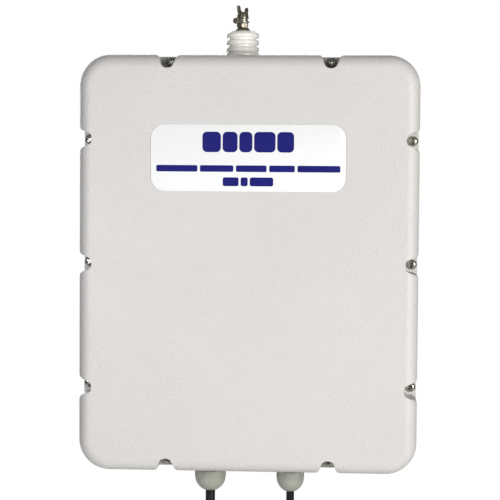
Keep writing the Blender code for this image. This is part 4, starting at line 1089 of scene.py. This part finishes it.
def build_toroid():
    """Enamelled core with a close winding that leaves a gap for its two ends."""
    place = on_board(-45, 55)
    turned("toroid_core", band(12.8, 21.2, 1, 14, 0.8, 0.8), "painted_core", "toroid_inductor",
           matrix=place, segments=96)
    loop = rounded(band(12.4, 21.6, 0.5, 14.5, 1, 1), steps=3)
    steps, end_radius, end_angle, gap = 34 * len(loop), 22, 0.2, 0.25
    path = [polar(end_radius, end_angle)]
    for i in range(steps + 1):
        angle = gap + (tau - 2 * gap) * i / steps
        radius, height = loop[(i + 8) % len(loop)]
        path.append(polar(radius, angle, height))
    path.append(polar(end_radius, -end_angle))
    bm = bmesh.new()
    add_sweep(bm, path, 0.45, 7, place)
    finish_mesh("toroid_winding", bm, "bare_copper")


def build_air_coil():
    """Open helix of thick wire on two bars, with its ends led to the board."""
    centre = moved(38, -BOARD_FACE - 21.5, 45)
    radius, half_length, turns, steps = 17, 33, 17, 40
    path = [(0, 21.5, -32.7), (0, 20, -half_length)]
    for i in range(turns * steps + 1):
        angle = pi / 2 + tau * i / steps
        path.append(polar(radius, angle, half_length * (2 * i / (turns * steps) - 1)))
    path += [(0, 20, half_length), (0, 21.5, 32.7)]
    helix, bars = bmesh.new(), bmesh.new()
    add_sweep(helix, path, 0.95, 10, centre)
    finish_mesh("air_coil_helix", helix, "bare_copper", "air_coil")
    for x in (14.8, -14.8):
        add_box(bars, (2.2, 6, 66.8), (x, 0, 0), matrix=centre)
    finish_mesh("air_coil_supports", bars, "plug_nylon")


def build_terminal_block():
    """Screw terminals in a row: stepped body, screw heads, and dark plastic plates painted as the
    shade in the wire entries and the screw slots.
    """
    place = on_board(-10, -100)
    section = rounded([(-5.5, 0), (5.5, 0), (5.5, 7.2, 0.4), (4, 7.8, 0.4), (3.6, 12, 0.4),
                       (-3.6, 12, 0.4), (-4, 8.6, 0.4), (-5.5, 8, 0.4)], steps=3)
    width, count = 5.5, 8
    row, screws, shade_patches = bmesh.new(), bmesh.new(), bmesh.new()
    for k in range(count):
        left = width * (k - count / 2)
        add_rows(row, [[(left + shift, y * grow, z * grow) for y, z in section]
                       for shift, grow in ((0, 0.975), (0.15, 1), (width - 0.15, 1),
                                           (width, 0.975))], place)
        x = left + width / 2
        head = place @ moved(x, 0, 11.6) @ spun(0.6 * k)
        add_turned(screws, [(0, 0), (1.7, 0), (1.7, 0.5, 0.1), (1.4, 0.7, 0.1), (0, 0.7)], 24,
                   head)
        # Painted shade: a dark plate on the face stands for each wire entry, and a dark bar on
        # each head stands for the screw's slot; neither opening is cut.
        add_box(shade_patches, (3, 0.4, 3.4), (x, -5.4, 3.2), 0.1, place)
        add_box(shade_patches, (2.8, 0.6, 0.1), (0, 0, 0.72), 0.04, head)
    finish_mesh("terminal_row", row, "terminal_plastic", "terminal_block")
    finish_mesh("terminal_screws", screws, "steel")
    finish_mesh("terminal_painted_shade", shade_patches, "chip_plastic")


def build_antenna_lead():
    """Lead's sleeve from the inner end of the stud down to the board, on a smooth spline."""
    stud_end = Vector((INSULATOR_X, ENTRY_Y, HALF_Z - 16.3))
    route = [stud_end + Vector(step) for step in (
        (0, 0, 0), (0, -0.8, -6), (1, -6, -14), (3, -11, -22), (4, -9, -31), (4, 1.8, -34))]
    padded = [2 * route[0] - route[1]] + route + [2 * route[-1] - route[-2]]
    path = []
    for before, start, end, after in zip(padded, padded[1:], padded[2:], padded[3:]):
        for t in (0, 0.2, 0.4, 0.6, 0.8):
            path.append(0.5 * (2 * start + (end - before) * t
                               + (2 * before - 5 * start + 4 * end - after) * t * t
                               + (3 * start - before - 3 * end + after) * t ** 3))
    bm = bmesh.new()
    add_sweep(bm, path + [route[-1]], 1.5, 16)
    finish_mesh("antenna_lead_sleeve", bm, "cable_sheath", "antenna_lead")


# --- Cords ---

def winding_order(diameter):
    """(radial, sideways) slots that one cord passes through, turn by turn.

    Nineteen slots lie in five columns. The cord comes in at the middle of the outermost
    column, goes once round the rim of the section, then through its inside and back.
    """
    counts = (3, 4, 5, 4, 3)
    order = ((4, 1), (4, 2), (3, 3), (2, 4), (1, 3), (0, 2), (0, 1), (0, 0), (1, 0), (2, 0),
             (3, 0), (4, 0), (3, 1), (2, 2), (2, 1), (1, 1), (1, 2), (2, 3), (3, 2), (4, 1))
    step = diameter * sqrt(3) / 2
    return [((column - 2) * step, (k - (counts[column] - 1) / 2) * diameter)
            for column, k in order]


def eased(share):
    return share * share * (3 - 2 * share)


def cord_points(gland_x, centre_x, diameter):
    """Centreline from the bottom wall to the plug: drop, bend, nineteen turns and tail."""
    side = copysign(1, gland_x)
    outermost = COIL_RADIUS + sqrt(3) * diameter
    reach = BEND_RADIUS + outermost
    bend = acos((abs(gland_x) + BEND_RADIUS - abs(centre_x)) / reach)
    bend_top = COIL_Z + reach * sin(bend)
    points = [(gland_x, ENTRY_Y, -HALF_Z + (bend_top + HALF_Z) * i / 6) for i in range(6)]
    for i in range(12):
        share = i / 12
        angle = bend * share
        points.append((gland_x + side * BEND_RADIUS * (1 - cos(angle)),
                       ENTRY_Y + (COIL_Y - ENTRY_Y) * eased(share),
                       bend_top - BEND_RADIUS * sin(angle)))
    order = winding_order(diameter)
    # The cord meets its outermost turn at the angle bend, and steps from slot to slot there.
    total = tau * (len(order) - 2) + bend
    steps = round(total / tau * TURN_POINTS)
    for i in range(steps + 1):
        run = total * i / steps
        turn = min(int(run / tau), len(order) - 2)
        blend = eased(min(1, (run - turn * tau) / bend))
        (radial, across), following = order[turn], order[turn + 1]
        distance = COIL_RADIUS + radial + (following[0] - radial) * blend
        across += (following[1] - across) * blend
        angle = bend - run
        points.append((centre_x + side * distance * cos(angle), COIL_Y + across,
                       COIL_Z + distance * sin(angle)))
    points += [(centre_x + side * outermost, COIL_Y, COIL_Z - TAIL_LENGTH * i / TAIL_POINTS)
               for i in range(1, TAIL_POINTS + 1)]
    return [tuple(MM * place for place in point) for point in points]


def build_cord(prefix, gland_x, centre_x, diameter, plug_pieces):
    """One open spline that carries the whole cord."""
    points = cord_points(gland_x, centre_x, diameter)
    curve = bpy.data.curves.new(f"{prefix}_cord", "CURVE")
    curve.dimensions = "3D"
    curve.bevel_depth = MM * diameter / 2
    curve.bevel_resolution = 4
    curve.use_fill_caps = True
    spline = curve.splines.new("POLY")
    spline.points.add(len(points) - 1)
    for target, point in zip(spline.points, points):
        target.co = (*point, 1)
    spline.use_smooth = True
    cord = place_piece(f"{prefix}_cord", curve, "cable_sheath", f"{prefix}_cable",
                       f"{prefix}_cable_coil", f"{prefix}_cable_tail")


build_camera()
build_studio()
build_floor(CAD_BOX[0][2] - 0.03)
build_cover()
build_base()
build_gasket()
build_label()
build_screws()
build_antenna_terminal()
build_earth_terminal()
build_gland("control", -GLAND_X, 9.2, 11.65, CONTROL_CABLE / 2, 5)
build_gland("coax", GLAND_X, 7.6, 10.45, COAX_CABLE / 2, 4.3)
build_tie("control", CONTROL_COIL_X, CONTROL_CABLE, radians(115))
build_tie("coax", COAX_COIL_X, COAX_CABLE, radians(65))
build_board()
build_tracks()
build_chips()
build_small_parts()
build_relays()
build_toroid()
build_air_coil()
build_terminal_block()
build_antenna_lead()
build_cord("control", -GLAND_X, CONTROL_COIL_X, CONTROL_CABLE, build_control_plug())
build_cord("coax", GLAND_X, COAX_COIL_X, COAX_CABLE, build_coax_plug())
